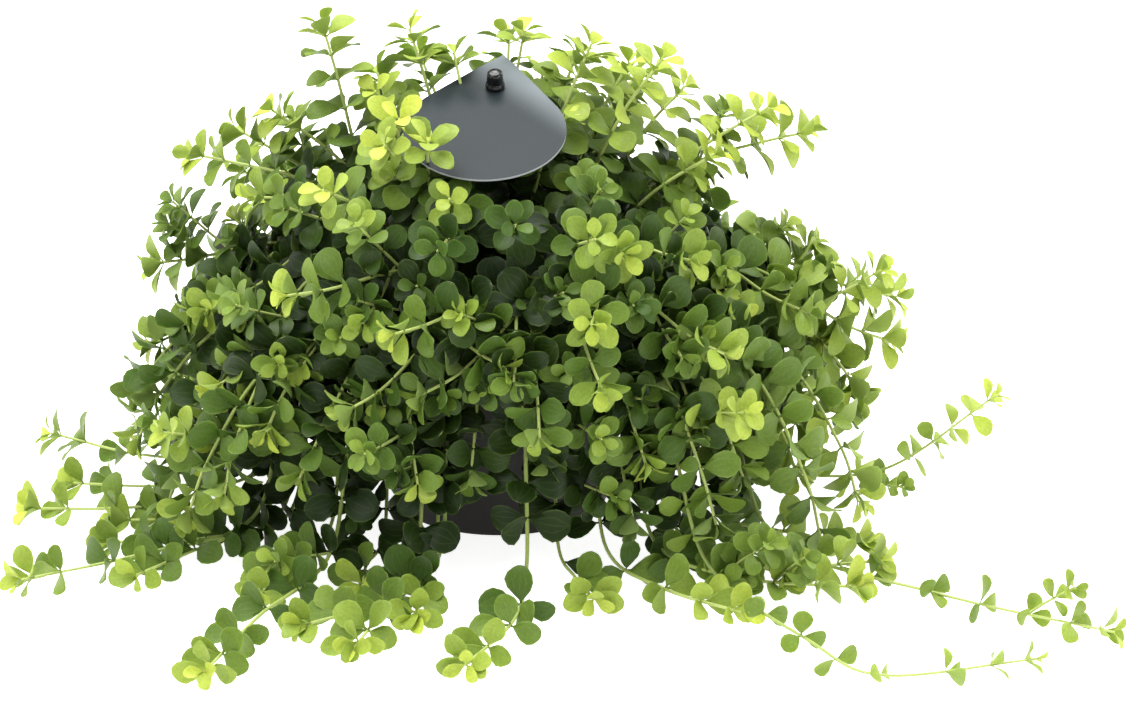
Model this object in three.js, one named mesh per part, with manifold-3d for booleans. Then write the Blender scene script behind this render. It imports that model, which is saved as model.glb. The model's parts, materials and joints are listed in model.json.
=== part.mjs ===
// A potted peperomia: a trailing plant with whorls of small round leaves, in a plain
// tapered plastic pot, with a drop-shaped label on a stake.
// Millimetres, +Z up. The origin is the centre of the pot's base and -Y is the front.
import * as THREE from "three";
import { mergeVertices } from "three/addons/utils/BufferGeometryUtils.js";
import Module from "manifold-3d";

const wasm = await Module();
wasm.setup();

const { degToRad, lerp } = THREE.MathUtils;

// Pot: a 12 cm plant pot
const POT_HEIGHT = 98;
const BASE_RADIUS = 43;
const BASE_CHAMFER = 1.5;
const WALL = 1.6;
const FLOOR = 3;
const LIP_RADIUS = 61.5;
const LIP_HEIGHT = 7;
const LIP_WALL = 2.4;
const LIP_CHAMFER = 0.8;
const NECK_RADIUS = 59.2;
const NECK_SLOPE = 1;
const POT_SIDES = 30;

// Soil
const SOIL_TOP = 86;
const FIT = 0.3;
const HOLE_RADIUS = 2.6;
const HOLE_DEPTH = 8;
const HOLE_SIDES = 4;
const CUT_PAST = 2;
const ROOT_SPACING = 6;
const ROOT_PASSES = 60;
const OFF_THE_WALL = 6;

// Stems: three-sided, thicker at the root
const ROOT_THICKNESS = 1.05;
const TIP_THICKNESS = 0.75;
const STEM_STEP = 21;
const STEM_TIP = 1;
const STRAIGHT_FOOT = 3;
const LIE = 8;
const LOWEST = 6;
const STEM_CLEAR = 3.8;
const SPREAD_PASSES = 14;
const BEND_POINTS = 3;
const BEND_SHARE = 0.25;
const ROUTE_STEP = 3;
const LIP_CLEAR = 4;
const OVER_LIP = POT_HEIGHT + 5;
const PAST_LIP = LIP_RADIUS + 9;
const HANG_CLEAR = 15;
const HANG_BELLY = 16;
const LANDING = 0.34;

// Where the curves pass between a stem's root and its tip: shares of the way out, of the
// turn from the root's azimuth to the tip's, and of the height
const UP_THROUGH = [[0.18, 0.1, 0.36], [0.6, 0.5, 0.76]];
const ARCH_RISE = [0.16, 0.1, 0.72];
const ARCH_CREST = [0.5, 0.4];
const ARCH_FALL = [0.82, 0.8, 0.72];
const HANG_THROUGH = [[0.75, 0.3, 0.32], [0.5, 0.7, 0.72]];
const TRAIL_FALL = [0.62, 0.15, 0.5];
const LANDING_TURN = 0.2;
const LANDING_HEIGHT = 5;
const TRAIL_LIES = [[0.5, 0.5]];
const SWEEP_LIES = [[0.5, 0], [0.78, 0.06]];

// Leaves: an obovate blade with six corners, cupped towards the light
const BLADE = 0.68;
const BLADE_ROOT = 0.9;
const BLADE_FOOT = 0.16;
const WIDEST_AT = 0.52;
const WIDEST = 0.44;
const END_WIDTH = 0.23;
const END_RISE = 0.02;
const CUP = 0.09;
const LEAF_GAP = 0.3;
const FLOOR_GAP = 0.5;
const LEAF_LENGTHS = [9.5, 13.5, 16, 17];
const WHORL_SPACING = [10, 22, 34, 38];
const LYING_SPACING = [12, 27, 44, 48];
const LYING_BELOW = 16;
const SPACING_SCATTER = 0.1;
const LENGTH_SCATTER = 0.08;
const LEAVES_PER_WHORL = 3;
const BARE_TIP = 1.5;
const BARE_ABOVE_SOIL = 34;
const SIDE_TURN = degToRad(120);
const WHORL_TURN = degToRad(50);
const WHORL_SCATTER = degToRad(6);
const LEAF_TILT = degToRad(12);
const TIP_TILT = degToRad(42);
const LEAF_LIFT = 0.15;
const LEAF_FACING = 0.35;
const LIGHT_OUT = 0.6;
const LIGHT_UP = 0.85;
const YOUNG_WIDTH = 0.82;
const STEEPEST = 0.6;
const ROOT_FLATNESS = 0.6;

// Label: a drop-shaped card on a leaning stake that stands in the soil
const LABEL_HOLE = new THREE.Vector3(-1, -6, 172.3);
const LABEL_LEAN = degToRad(21);
const LABEL_TURN = degToRad(-7.3);
const CARD_RADIUS = 31;
const CARD_DROP = 27;
const CARD_POINT = 23;
const CARD_THICKNESS = 0.8;
const CARD_BEND_RADIUS = 160;
const CARD_FLAT = 6;
const CARD_HOLE_RADIUS = 2.6;
const SHEET_SIZE = 140;
const BEND_STEP = 6;
const STAKE_RADIUS = 1.6;
const STAKE_LENGTH = 128;
const STAKE_POINT = 8;
const STAKE_SIDES = 10;
const STAKE_HOLE_CLEAR = 0.6;
const STAKE_MARGIN = 10;
const COLLAR_RADIUS = 4;
const COLLAR_THICKNESS = 1.2;
const COLLAR_CONE = 1.8;
const PEG_HEIGHT = 8;
const PEG_FOOT_RADIUS = 3.8;
const PEG_TOP_RADIUS = 3.05;
const PEG_CHAMFER = 0.7;

// Each stem is given by hand: how it grows, the azimuth and radius of its root, the height
// of its crest, and the azimuth, reach and height of its tip. Azimuth 0 is the front and 90
// the right. An "up" stem rises to its tip, an "arch" leans out over its crest, a "hang"
// falls outside the pot and a "trail" goes on along the surface that the pot stands on.
// A "sweep" is a trail that turns only near its end. An eighth value is the size of the
// leaves of a thin young trail, of which 1 is the full size.
const STEMS = {
  crown: [
    ["up", -80, 48, 0, -98, 69, 194],
    ["up", -80, 12, 0, -106, 36, 192],
    ["up", 160, 6, 0, 146, 18, 190],
    ["up", 60, 12, 0, 90, 36, 188],
    ["up", 110, 22, 0, 111, 55, 176],
    ["up", 72, 24, 0, 81, 64, 185],
    ["up", 175, 18, 0, 176, 50, 180],
    ["up", -150, 20, 0, -150, 66, 170],
  ],
  left: [
    ["up", -95, 30, 0, -101, 107, 149],
    ["up", -85, 26, 0, -90, 88, 162],
    ["arch", -82, 36, 136, -90, 119, 144],
    ["up", -35, 22, 0, -37, 69, 164],
    ["arch", -92, 40, 107, -90, 137, 99],
    ["arch", -78, 44, 106, -86, 138, 68],
    ["arch", -54, 40, 110, -61, 124, 68],
    ["hang", -72, 44, 104, -82, 144, 34],
    ["hang", -106, 44, 104, -108, 140, 26],
    ["hang", -52, 45, 102, -56, 142, 24],
  ],
  front: [
    ["up", -12, 24, 0, -14, 70, 147],
    ["arch", -18, 38, 118, -44, 111, 113],
    ["arch", 0, 44, 104, -30, 110, 73],
    ["hang", -26, 44, 102, -16, 105, 46],
    ["hang", 10, 44, 104, 9, 106, 66],
    ["arch", 20, 34, 118, 21, 110, 85],
    ["arch", 32, 42, 110, 47, 117, 90],
  ],
  right: [
    ["up", 85, 30, 0, 90, 105, 163],
    ["arch", 94, 38, 140, 95, 122, 150],
    ["arch", 46, 34, 122, 51, 94, 120],
    ["arch", 88, 44, 104, 91, 158, 84],
    ["arch", 76, 44, 104, 84, 155, 72],
    ["hang", 80, 38, 104, 86, 143, 46],
    ["hang", 60, 44, 104, 62, 131, 33],
    ["hang", 104, 44, 104, 106, 138, 30],
    ["hang", 70, 46, 102, 72, 148, 16],
  ],
  back: [
    ["up", 142, 28, 0, 140, 88, 160],
    ["arch", 166, 34, 132, 168, 114, 136],
    ["arch", -156, 36, 130, -154, 118, 126],
    ["arch", -126, 36, 124, -122, 128, 116],
    ["hang", 176, 44, 104, 178, 140, 56],
    ["arch", 131, 42, 118, 130, 134, 82],
    ["hang", -152, 44, 104, -154, 146, 40],
    ["hang", -122, 44, 104, -124, 148, 60],
  ],
  trail: [
    ["trail", 54, 45, 104, 56, 271, 9, 0.75],
    ["sweep", 36, 36, 106, 48, 260, 9, 0.7],
    ["trail", 40, 44, 104, 57, 173, 12],
    ["trail", 24, 45, 102, 35, 159, 7],
    ["trail", 16, 38, 106, 17, 126, 8],
    ["trail", 9, 44, 104, -3, 177, 8],
    ["trail", -10, 45, 104, -26, 160, 8],
    ["trail", -36, 40, 106, -29, 209, 8],
    ["trail", -60, 40, 106, -60, 206, 8],
    ["trail", -76, 36, 110, -79, 189, 9],
    ["trail", -98, 45, 104, -100, 190, 14],
    ["trail", 94, 45, 104, 91, 200, 42, 0.75],
    ["trail", 158, 38, 106, 156, 190, 9],
    ["trail", -136, 42, 106, -138, 184, 9],
  ],
};

const LEAF_GREEN = 0x6d8f3c;
const YOUNG_GREEN = 0x9db544;
const materials = {
  pot: new THREE.MeshStandardMaterial({ color: 0x2c2828, roughness: 0.45, metalness: 0 }),
  soil: new THREE.MeshStandardMaterial({ color: 0x33271d, roughness: 0.95, metalness: 0 }),
  foliage: new THREE.MeshStandardMaterial({ color: LEAF_GREEN, roughness: 0.5, metalness: 0 }),
  young: new THREE.MeshStandardMaterial({ color: YOUNG_GREEN, roughness: 0.5, metalness: 0 }),
  card: new THREE.MeshStandardMaterial({ color: 0x6a7076, roughness: 0.55, metalness: 0 }),
  stake: new THREE.MeshStandardMaterial({ color: 0x161616, roughness: 0.35, metalness: 0 }),
};

// Repeatable random draw between 0 and 1 for a list of whole numbers
function draw(...keys) {
  let mixed = 2166136261;
  for (const key of keys) {
    mixed = Math.imul(mixed ^ key, 16777619);
    mixed ^= mixed >>> 13;
    mixed = Math.imul(mixed, 1540483477);
    mixed ^= mixed >>> 15;
  }
  return (mixed >>> 0) / 4294967296;
}

// Solids for cutting and joining

function toSolid(geometry) {
  const bare = geometry.clone();
  bare.deleteAttribute("normal");
  bare.deleteAttribute("uv");
  const merged = mergeVertices(bare, 1e-4);
  const triVerts = new Uint32Array(merged.index.array);
  const vertProperties = new Float32Array(merged.attributes.position.array);
  return new wasm.Manifold(new wasm.Mesh({ numProp: 3, vertProperties, triVerts }));
}

function toGeometry(solid) {
  const mesh = solid.getMesh();
  const geometry = new THREE.BufferGeometry();
  geometry.setAttribute("position", new THREE.BufferAttribute(mesh.vertProperties, 3));
  geometry.setIndex(new THREE.BufferAttribute(mesh.triVerts, 1));
  return geometry;
}

function fromTriangles(points, triangles) {
  const geometry = new THREE.BufferGeometry();
  const numbers = points.flatMap((point) => point.toArray());
  geometry.setAttribute("position", new THREE.Float32BufferAttribute(numbers, 3));
  geometry.setIndex(triangles.flat());
  return geometry;
}

function meets(solid, other) {
  const shared = solid.intersect(other);
  const empty = shared.isEmpty();
  shared.delete();
  return !empty;
}

function boxOf(points) {
  return new THREE.Box3().setFromPoints(points);
}

function turned(profile, sides) {
  const geometry = new THREE.LatheGeometry(profile.map(([r, z]) => new THREE.Vector2(r, z)), sides);
  return geometry.rotateX(Math.PI / 2);
}

// Pot and soil

function innerRadius(height) {
  return lerp(BASE_RADIUS, NECK_RADIUS, height / (POT_HEIGHT - LIP_HEIGHT)) - WALL;
}

function potGeometry() {
  const neck = POT_HEIGHT - LIP_HEIGHT;
  return turned([
    [0, 0],
    [BASE_RADIUS - BASE_CHAMFER, 0],
    [BASE_RADIUS, BASE_CHAMFER],
    [NECK_RADIUS, neck],
    [LIP_RADIUS, neck + LIP_CHAMFER],
    [LIP_RADIUS, POT_HEIGHT - LIP_CHAMFER],
    [LIP_RADIUS - LIP_CHAMFER, POT_HEIGHT],
    [LIP_RADIUS - LIP_WALL, POT_HEIGHT],
    [innerRadius(neck), neck - NECK_SLOPE],
    [innerRadius(FLOOR), FLOOR],
    [0, FLOOR],
  ], POT_SIDES);
}

function soilGeometry(roots) {
  const bottom = FLOOR + FIT;
  const plug = turned([
    [0, bottom],
    [innerRadius(bottom) - FIT, bottom],
    [innerRadius(SOIL_TOP) - FIT, SOIL_TOP],
    [0, SOIL_TOP],
  ], POT_SIDES);
  let solid = toSolid(plug);
  for (const root of roots) {
    const hole = new THREE.CylinderGeometry(HOLE_RADIUS, HOLE_RADIUS, HOLE_DEPTH + CUT_PAST, HOLE_SIDES);
    hole.rotateX(Math.PI / 2);
    hole.translate(root.x, root.y, SOIL_TOP + (CUT_PAST - HOLE_DEPTH) / 2);
    solid = solid.subtract(toSolid(hole));
  }
  return toGeometry(solid.subtract(toSolid(stakeHoleGeometry())));
}

// Label: its own axis is +Z through the card's hole, before it is leaned forward

function placeLabel(geometry, turn = 0) {
  geometry.rotateZ(turn);
  geometry.rotateX(LABEL_LEAN);
  return geometry.translate(LABEL_HOLE.x, LABEL_HOLE.y, LABEL_HOLE.z);
}

// The hole in the soil is as long as the stake and a little more, with the same point
function stakeHoleGeometry() {
  const radius = STAKE_RADIUS + STAKE_HOLE_CLEAR;
  const end = -STAKE_LENGTH - 1;
  return placeLabel(turned([[0, end], [radius, end + STAKE_POINT], [radius, -1], [0, -1]], STAKE_SIDES));
}

function stakeGeometry() {
  const under = -CARD_THICKNESS / 2 - FIT;
  const over = CARD_THICKNESS / 2 + FIT;
  return placeLabel(turned([
    [0, -STAKE_LENGTH],
    [STAKE_RADIUS, -STAKE_LENGTH + STAKE_POINT],
    [STAKE_RADIUS, under - COLLAR_THICKNESS - COLLAR_CONE],
    [COLLAR_RADIUS, under - COLLAR_THICKNESS],
    [COLLAR_RADIUS, under],
    [STAKE_RADIUS, under],
    [STAKE_RADIUS, over],
    [PEG_FOOT_RADIUS, over + PEG_CHAMFER],
    [PEG_TOP_RADIUS, PEG_HEIGHT - PEG_CHAMFER],
    [PEG_TOP_RADIUS - PEG_CHAMFER, PEG_HEIGHT],
    [0, PEG_HEIGHT],
  ], STAKE_SIDES));
}

// A round with two straight sides that leave it as tangents and meet at the point
function dropOutline() {
  const shape = new THREE.Shape();
  const shoulder = Math.acos(CARD_RADIUS / (CARD_DROP + CARD_POINT));
  shape.moveTo(0, CARD_POINT);
  shape.absarc(0, -CARD_DROP, CARD_RADIUS, Math.PI / 2 + shoulder, Math.PI * 2.5 - shoulder, false);
  shape.lineTo(0, CARD_POINT);
  const hole = new THREE.Path();
  hole.absarc(0, 0, CARD_HOLE_RADIUS, 0, Math.PI * 2, true);
  shape.holes.push(hole);
  return shape;
}

// The card is cut from a sheet whose end with the point droops a little
function cardGeometry() {
  const cut = { depth: SHEET_SIZE, bevelEnabled: false, curveSegments: 8 };
  const prism = new THREE.ExtrudeGeometry(dropOutline(), cut);
  prism.translate(0, 0, -SHEET_SIZE / 2);
  const sheet = new THREE.Shape();
  const droop = (y) => (Math.max(0, y - CARD_FLAT) ** 2) / (2 * CARD_BEND_RADIUS);
  const stations = [-SHEET_SIZE / 2, ...[0, 1, 2, 3].map((i) => CARD_FLAT + i * BEND_STEP)];
  const half = CARD_THICKNESS / 2;
  sheet.setFromPoints([
    ...stations.map((y) => new THREE.Vector2(y, -droop(y) - half)),
    ...stations.toReversed().map((y) => new THREE.Vector2(y, -droop(y) + half)),
  ]);
  const slab = new THREE.ExtrudeGeometry(sheet, { depth: SHEET_SIZE, bevelEnabled: false });
  slab.translate(0, 0, -SHEET_SIZE / 2);
  slab.applyMatrix4(new THREE.Matrix4().makeBasis(
    new THREE.Vector3(0, 1, 0), new THREE.Vector3(0, 0, 1), new THREE.Vector3(1, 0, 0)));
  return placeLabel(toGeometry(toSolid(prism).intersect(toSolid(slab))), LABEL_TURN);
}

// Stem routes

function polar(radius, azimuth, height) {
  const angle = degToRad(azimuth);
  return new THREE.Vector3(radius * Math.sin(angle), -radius * Math.cos(angle), height);
}

function controlPoints([kind, rootAzimuth, rootRadius, crest, tipAzimuth, reach, tip]) {
  const at = (r, turn, z) => polar(r, lerp(rootAzimuth, tipAzimuth, turn), z);
  const out = (share) => lerp(rootRadius, reach, share);
  const foot = SOIL_TOP - HOLE_DEPTH + FIT;
  const start = [at(rootRadius, 0, foot), at(rootRadius, 0, SOIL_TOP + STRAIGHT_FOOT)];
  const end = at(reach, 1, tip);
  if (kind === "up") {
    const middle = UP_THROUGH.map(([r, turn, z]) => at(out(r), turn, lerp(SOIL_TOP, tip, z)));
    return [...start, ...middle, end];
  }
  if (kind === "arch") {
    const [riseOut, riseTurn, rise] = ARCH_RISE;
    const [fallOut, fallTurn, fall] = ARCH_FALL;
    return [
      ...start,
      at(out(riseOut), riseTurn, Math.max(OVER_LIP, lerp(SOIL_TOP, crest, rise))),
      at(out(ARCH_CREST[0]), ARCH_CREST[1], crest),
      at(out(fallOut), fallTurn, lerp(crest, tip, fall)),
      end,
    ];
  }
  const crossing = [
    at((rootRadius + LIP_RADIUS) / 2, 0, crest - STRAIGHT_FOOT),
    at(PAST_LIP, 0, crest),
  ];
  if (kind === "hang") {
    const belly = Math.max(LIP_RADIUS + HANG_CLEAR, reach - HANG_BELLY);
    const [upper, lower] = HANG_THROUGH;
    return [
      ...start,
      ...crossing,
      at(lerp(PAST_LIP, belly, upper[0]), upper[1], lerp(crest, tip, upper[2])),
      at(lerp(belly, reach, lower[0]), lower[1], lerp(crest, tip, lower[2])),
      end,
    ];
  }
  const land = lerp(LIP_RADIUS, reach, LANDING);
  const [fallOut, fallTurn, fall] = TRAIL_FALL;
  const lying = kind === "sweep" ? SWEEP_LIES : TRAIL_LIES;
  return [
    ...start,
    ...crossing,
    at(lerp(PAST_LIP, land, fallOut), fallTurn, lerp(crest, LIE, fall)),
    at(land, LANDING_TURN, LIE + LANDING_HEIGHT),
    ...lying.map(([share, turn]) => at(lerp(land, reach, share), turn, LIE)),
    end,
  ];
}

function routeOf(stem) {
  const curve = new THREE.CatmullRomCurve3(controlPoints(stem), false, "catmullrom", 0.5);
  return curve.getSpacedPoints(Math.round(curve.getLength() / ROUTE_STEP));
}

// Roots that stand too close are moved apart in the soil, and off the stake
function spreadRoots(stems) {
  const spots = stems.map(([, azimuth, radius]) => polar(radius, azimuth, 0));
  const foot = stakeAt(SOIL_TOP);
  for (let pass = 0; pass < ROOT_PASSES; pass += 1) {
    for (const spot of spots) {
      for (const other of [...spots, foot]) {
        const away = new THREE.Vector3(spot.x - other.x, spot.y - other.y, 0);
        const short = ROOT_SPACING - away.length();
        if (other !== spot && short > 0) {
          spot.addScaledVector(away.normalize(), short / 2);
        }
      }
      spot.clampLength(0, innerRadius(SOIL_TOP) - OFF_THE_WALL);
    }
  }
  return stems.map((stem, i) => {
    const [kind, , , ...rest] = stem;
    const azimuth = THREE.MathUtils.radToDeg(Math.atan2(spots[i].x, -spots[i].y));
    return [kind, azimuth, spots[i].length(), ...rest];
  });
}

function stakeAt(height) {
  const down = (LABEL_HOLE.z - height) * Math.tan(LABEL_LEAN);
  return new THREE.Vector3(LABEL_HOLE.x, LABEL_HOLE.y + down, 0);
}

function stakeRoute() {
  const low = SOIL_TOP - STAKE_MARGIN;
  const count = Math.round((LABEL_HOLE.z + STAKE_MARGIN - low) / ROUTE_STEP);
  const heights = Array.from({ length: count }, (_, i) => low + i * ROUTE_STEP);
  return heights.map((height) => stakeAt(height).setZ(height));
}

function pushApart(routeA, shiftA, routeB, shiftB) {
  for (const [i, a] of routeA.entries()) {
    for (const [j, b] of routeB.entries()) {
      if (Math.abs(a.x - b.x) < STEM_CLEAR && Math.abs(a.y - b.y) < STEM_CLEAR) {
        const away = new THREE.Vector3().subVectors(a, b);
        const short = STEM_CLEAR - away.length();
        if (short > 0) {
          away.normalize().multiplyScalar(short / 2);
          shiftA[i].add(away);
          shiftB?.[j].sub(away);
        }
      }
    }
  }
}

function keepOffPot(point) {
  const radius = Math.hypot(point.x, point.y);
  const overLip = radius > innerRadius(POT_HEIGHT) - LIP_CLEAR && radius < LIP_RADIUS + LIP_CLEAR;
  if (overLip && point.z > SOIL_TOP && point.z < POT_HEIGHT + LIP_CLEAR) {
    point.z = POT_HEIGHT + LIP_CLEAR;
  }
  point.z = Math.max(point.z, LOWEST);
}

// Stems that pass too near each other are bent clear, in smooth bends
function bendClear(routes) {
  const fixed = stakeRoute();
  for (let pass = 0; pass < SPREAD_PASSES; pass += 1) {
    const shifts = routes.map((route) => route.map(() => new THREE.Vector3()));
    for (let a = 0; a < routes.length; a += 1) {
      pushApart(routes[a], shifts[a], fixed, null);
      for (let b = a + 1; b < routes.length; b += 1) {
        pushApart(routes[a], shifts[a], routes[b], shifts[b]);
      }
    }
    for (const [s, route] of routes.entries()) {
      const smooth = shifts[s].map((_, i) => {
        const near = shifts[s].slice(Math.max(0, i - BEND_POINTS), i + BEND_POINTS + 1);
        const total = near.reduce((sum, shift) => sum.add(shift), new THREE.Vector3());
        return total.multiplyScalar(BEND_SHARE);
      });
      for (const [i, point] of route.entries()) {
        if (i * ROUTE_STEP > HOLE_DEPTH + STRAIGHT_FOOT) {
          point.add(smooth[i].clampLength(0, STEM_CLEAR / 2));
          keepOffPot(point);
        }
      }
    }
  }
}

// A route that can be asked for its place, direction and frame at a distance from the root
class Route {
  constructor(points) {
    this.points = points;
    this.reach = [0];
    for (let i = 1; i < points.length; i += 1) {
      this.reach.push(this.reach[i - 1] + points[i].distanceTo(points[i - 1]));
    }
    this.length = this.reach.at(-1);
    this.tangents = points.map((_, i) => {
      const ahead = points[Math.min(i + 1, points.length - 1)];
      return new THREE.Vector3().subVectors(ahead, points[Math.max(i - 1, 0)]).normalize();
    });
    this.sides = [new THREE.Vector3(1, 0, 0)];
    for (let i = 1; i < points.length; i += 1) {
      const side = this.sides[i - 1].clone();
      side.addScaledVector(this.tangents[i], -side.dot(this.tangents[i])).normalize();
      this.sides.push(side);
    }
  }

  at(distance) {
    const last = this.points.length - 1;
    let i = 0;
    while (i < last - 1 && this.reach[i + 1] < distance) {
      i += 1;
    }
    const part = (distance - this.reach[i]) / (this.reach[i + 1] - this.reach[i]);
    const blend = (list) => list[i].clone().lerp(list[i + 1], part);
    return {
      point: blend(this.points),
      tangent: blend(this.tangents).normalize(),
      side: blend(this.sides),
    };
  }

  thickness(distance) {
    return lerp(ROOT_THICKNESS, TIP_THICKNESS, distance / this.length);
  }

  // Three corners round the stem; phase turns them about its axis
  ring(distance, phase) {
    const { point, tangent, side } = this.at(distance);
    return [0, 1, 2].map((k) => {
      const spoke = side.clone().applyAxisAngle(tangent, phase + k * SIDE_TURN).normalize();
      return spoke.multiplyScalar(this.thickness(distance)).add(point);
    });
  }
}

// Leaves

function lightAt(point) {
  const outward = new THREE.Vector3(point.x, point.y, 0).normalize();
  return outward.multiplyScalar(LIGHT_OUT).add(new THREE.Vector3(0, 0, LIGHT_UP)).normalize();
}

// The blade's outline as pairs of corners above and below, from the root round the tip
function bladeCorners(leaf, grow) {
  const { origin, along, up, across, length, width } = leaf;
  const half = BLADE / 2 + grow;
  const outline = [
    [BLADE_FOOT, BLADE_FOOT, 0],
    [WIDEST_AT, WIDEST, CUP],
    [1, END_WIDTH, END_RISE],
    [1, -END_WIDTH, END_RISE],
    [WIDEST_AT, -WIDEST, CUP],
    [BLADE_FOOT, -BLADE_FOOT, 0],
  ];
  const corner = ([out, wide, rise], lift) => origin.clone()
    .addScaledVector(along, out * (length + (out === 1 ? grow : 0)))
    .addScaledVector(across, wide * width + Math.sign(wide) * grow)
    .addScaledVector(up, rise * length + lift);
  return {
    above: outline.map((place) => corner(place, half)),
    below: outline.map((place) => corner(place, -half)),
  };
}

// Corners 0 and 5 are the root, 2 and 3 the end of the blade
const BLADE_FACE = [[0, 2, 1], [0, 3, 2], [0, 5, 3], [3, 5, 4]];
const RIM_PAIRS = [[0, 1], [1, 2], [2, 3], [3, 4], [4, 5]];

function bladeTriangles(above, below) {
  const top = BLADE_FACE.map((face) => face.map((i) => above[i]));
  const bottom = BLADE_FACE.map((face) => face.map((i) => below[i]).toReversed());
  const rim = RIM_PAIRS.flatMap(([i, j]) => [
    [below[i], above[i], above[j]],
    [below[i], above[j], below[j]],
  ]);
  return [...top, ...bottom, ...rim];
}

function bladeSolid(leaf, grow) {
  const { above, below } = bladeCorners(leaf, grow);
  const indices = bladeTriangles([0, 1, 2, 3, 4, 5], [6, 7, 8, 9, 10, 11]);
  const rootEnd = [[11, 5, 0], [11, 0, 6]];
  return toSolid(fromTriangles([...above, ...below], [...indices, ...rootEnd]));
}

function leafPose(route, { distance, phase, order }, k, length, [turn, lift]) {
  const tilt = order === 0 ? TIP_TILT : LEAF_TILT;
  const { point, tangent, side } = route.at(distance);
  const face = side.clone().applyAxisAngle(tangent, phase + (k + 0.5) * SIDE_TURN).normalize();
  const light = lightAt(point);
  const along = face.clone().applyAxisAngle(tangent, turn).multiplyScalar(Math.cos(tilt));
  along.addScaledVector(tangent, Math.sin(tilt));
  along.addScaledVector(light, lift + LEAF_LIFT).normalize();
  const up = light.clone().lerp(tangent, LEAF_FACING);
  up.addScaledVector(along, -up.dot(along)).normalize();
  const across = new THREE.Vector3().crossVectors(up, along);
  const width = length * (order === 0 ? YOUNG_WIDTH : 1);
  return { origin: point, along, up, across, length, width, straight: along.dot(face) > STEEPEST };
}

// Other ways to hold a leaf that would meet a neighbour: turn, lift and relative length
const WAYS = [
  [0, 0, 1],
  [0.3, 0.1, 1],
  [-0.3, 0.1, 1],
  [0, 0.4, 1],
  [0.35, 0.45, 0.95],
  [-0.35, 0.45, 0.95],
  [0, -0.35, 0.92],
  [0.55, 0.2, 0.85],
  [-0.55, 0.2, 0.85],
  [0, 0.8, 0.85],
  [0.2, 0.3, 0.7],
];

class Thicket {
  constructor() {
    this.pieces = [];
  }

  add(solid, box, owner) {
    this.pieces.push({ solid, box, owner });
  }

  isClear(solid, box, skip) {
    const near = this.pieces.filter((piece) => !skip(piece.owner) && piece.box.intersectsBox(box));
    return !near.some((piece) => meets(solid, piece.solid));
  }
}

// Whorls of one stem, from the tip back to the bare stretch over the soil
function whorlsOf(route, index) {
  const bare = HOLE_DEPTH + BARE_ABOVE_SOIL;
  const start = 2 * Math.PI * draw(index, 4);
  const whorls = [];
  let back = BARE_TIP;
  for (let n = 0; route.length - back > bare; n += 1) {
    const phase = start + WHORL_TURN * (n % 2) + WHORL_SCATTER * draw(index, n, 1);
    whorls.push({ distance: route.length - back, phase, order: n, leaves: [] });
    const lying = route.at(route.length - back).point.z < LYING_BELOW;
    const spacing = lying ? LYING_SPACING : WHORL_SPACING;
    const scatter = lerp(1 - SPACING_SCATTER, 1 + SPACING_SCATTER, draw(index, n, 2));
    back += spacing[Math.min(n, spacing.length - 1)] * scatter;
  }
  return whorls;
}

function growLeaf(thicket, stem, whorl, k) {
  const { route, index } = stem;
  const size = stem.leafSize * LEAF_LENGTHS[Math.min(whorl.order, LEAF_LENGTHS.length - 1)];
  const grown = size * lerp(1 - LENGTH_SCATTER, 1 + LENGTH_SCATTER, draw(index, whorl.order, k, 3));
  const own = (owner) => owner.stem === index && owner.orders.includes(whorl.order);
  for (const way of WAYS) {
    const leaf = leafPose(route, whorl, k, grown * way[2], way);
    const { above, below } = bladeCorners(leaf, LEAF_GAP);
    const box = boxOf([...above, ...below]);
    const upright = leaf.straight && box.min.z > FLOOR_GAP;
    if (upright && thicket.isClear(bladeSolid(leaf, LEAF_GAP), box, own)) {
      thicket.add(bladeSolid(leaf, 0), box, { stem: index, orders: [] });
      whorl.leaves[k] = leaf;
      return;
    }
  }
}

// Rings of one stem: pairs of rings at the whorls, single rings between them
function ringsOf(stem) {
  const { route, whorls } = stem;
  const { phase: rootPhase } = whorls.at(-1);
  const foot = HOLE_DEPTH + CUT_PAST;
  const stations = [{ distance: 0, phase: rootPhase }, { distance: foot, phase: rootPhase }];
  for (const whorl of whorls.toReversed()) {
    const from = stations.at(-1);
    const gap = whorl.distance - BLADE_ROOT / 2 - from.distance;
    const steps = Math.max(1, Math.round(gap / STEM_STEP));
    for (let i = 1; i < steps; i += 1) {
      const distance = from.distance + (gap * i) / steps;
      stations.push({ distance, phase: lerp(from.phase, whorl.phase, i / steps) });
    }
    const { phase, order } = whorl;
    stations.push({ distance: whorl.distance - BLADE_ROOT / 2, phase, order, whorl });
    stations.push({ distance: whorl.distance + BLADE_ROOT / 2, phase, order });
  }
  return stations.map((s) => ({ ...s, corners: route.ring(s.distance, s.phase) }));
}

// A stem's three side faces between two rings, by the corners of both
function sideQuads(first) {
  return [0, 1, 2].map((k) => {
    const next = (k + 1) % 3;
    return [first + k, first + next, first + 3 + next, first + 3 + k];
  });
}

// Split along the diagonal that follows the twist, so that the stem keeps its thickness
function splitQuad([a, b, c, d], twist) {
  return twist > 0 ? [[a, b, d], [b, c, d]] : [[a, b, c], [a, c, d]];
}

function addStemPieces(thicket, stem) {
  for (let i = 0; i + 1 < stem.rings.length; i += 1) {
    const [low, high] = [stem.rings[i], stem.rings[i + 1]];
    const points = [...low.corners, ...high.corners];
    const sides = sideQuads(0).flatMap((quad) => splitQuad(quad, high.phase - low.phase));
    const solid = toSolid(fromTriangles(points, [[0, 2, 1], [3, 4, 5], ...sides]));
    thicket.add(solid, boxOf(points), { stem: stem.index, orders: [low.order, high.order] });
  }
}

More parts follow.
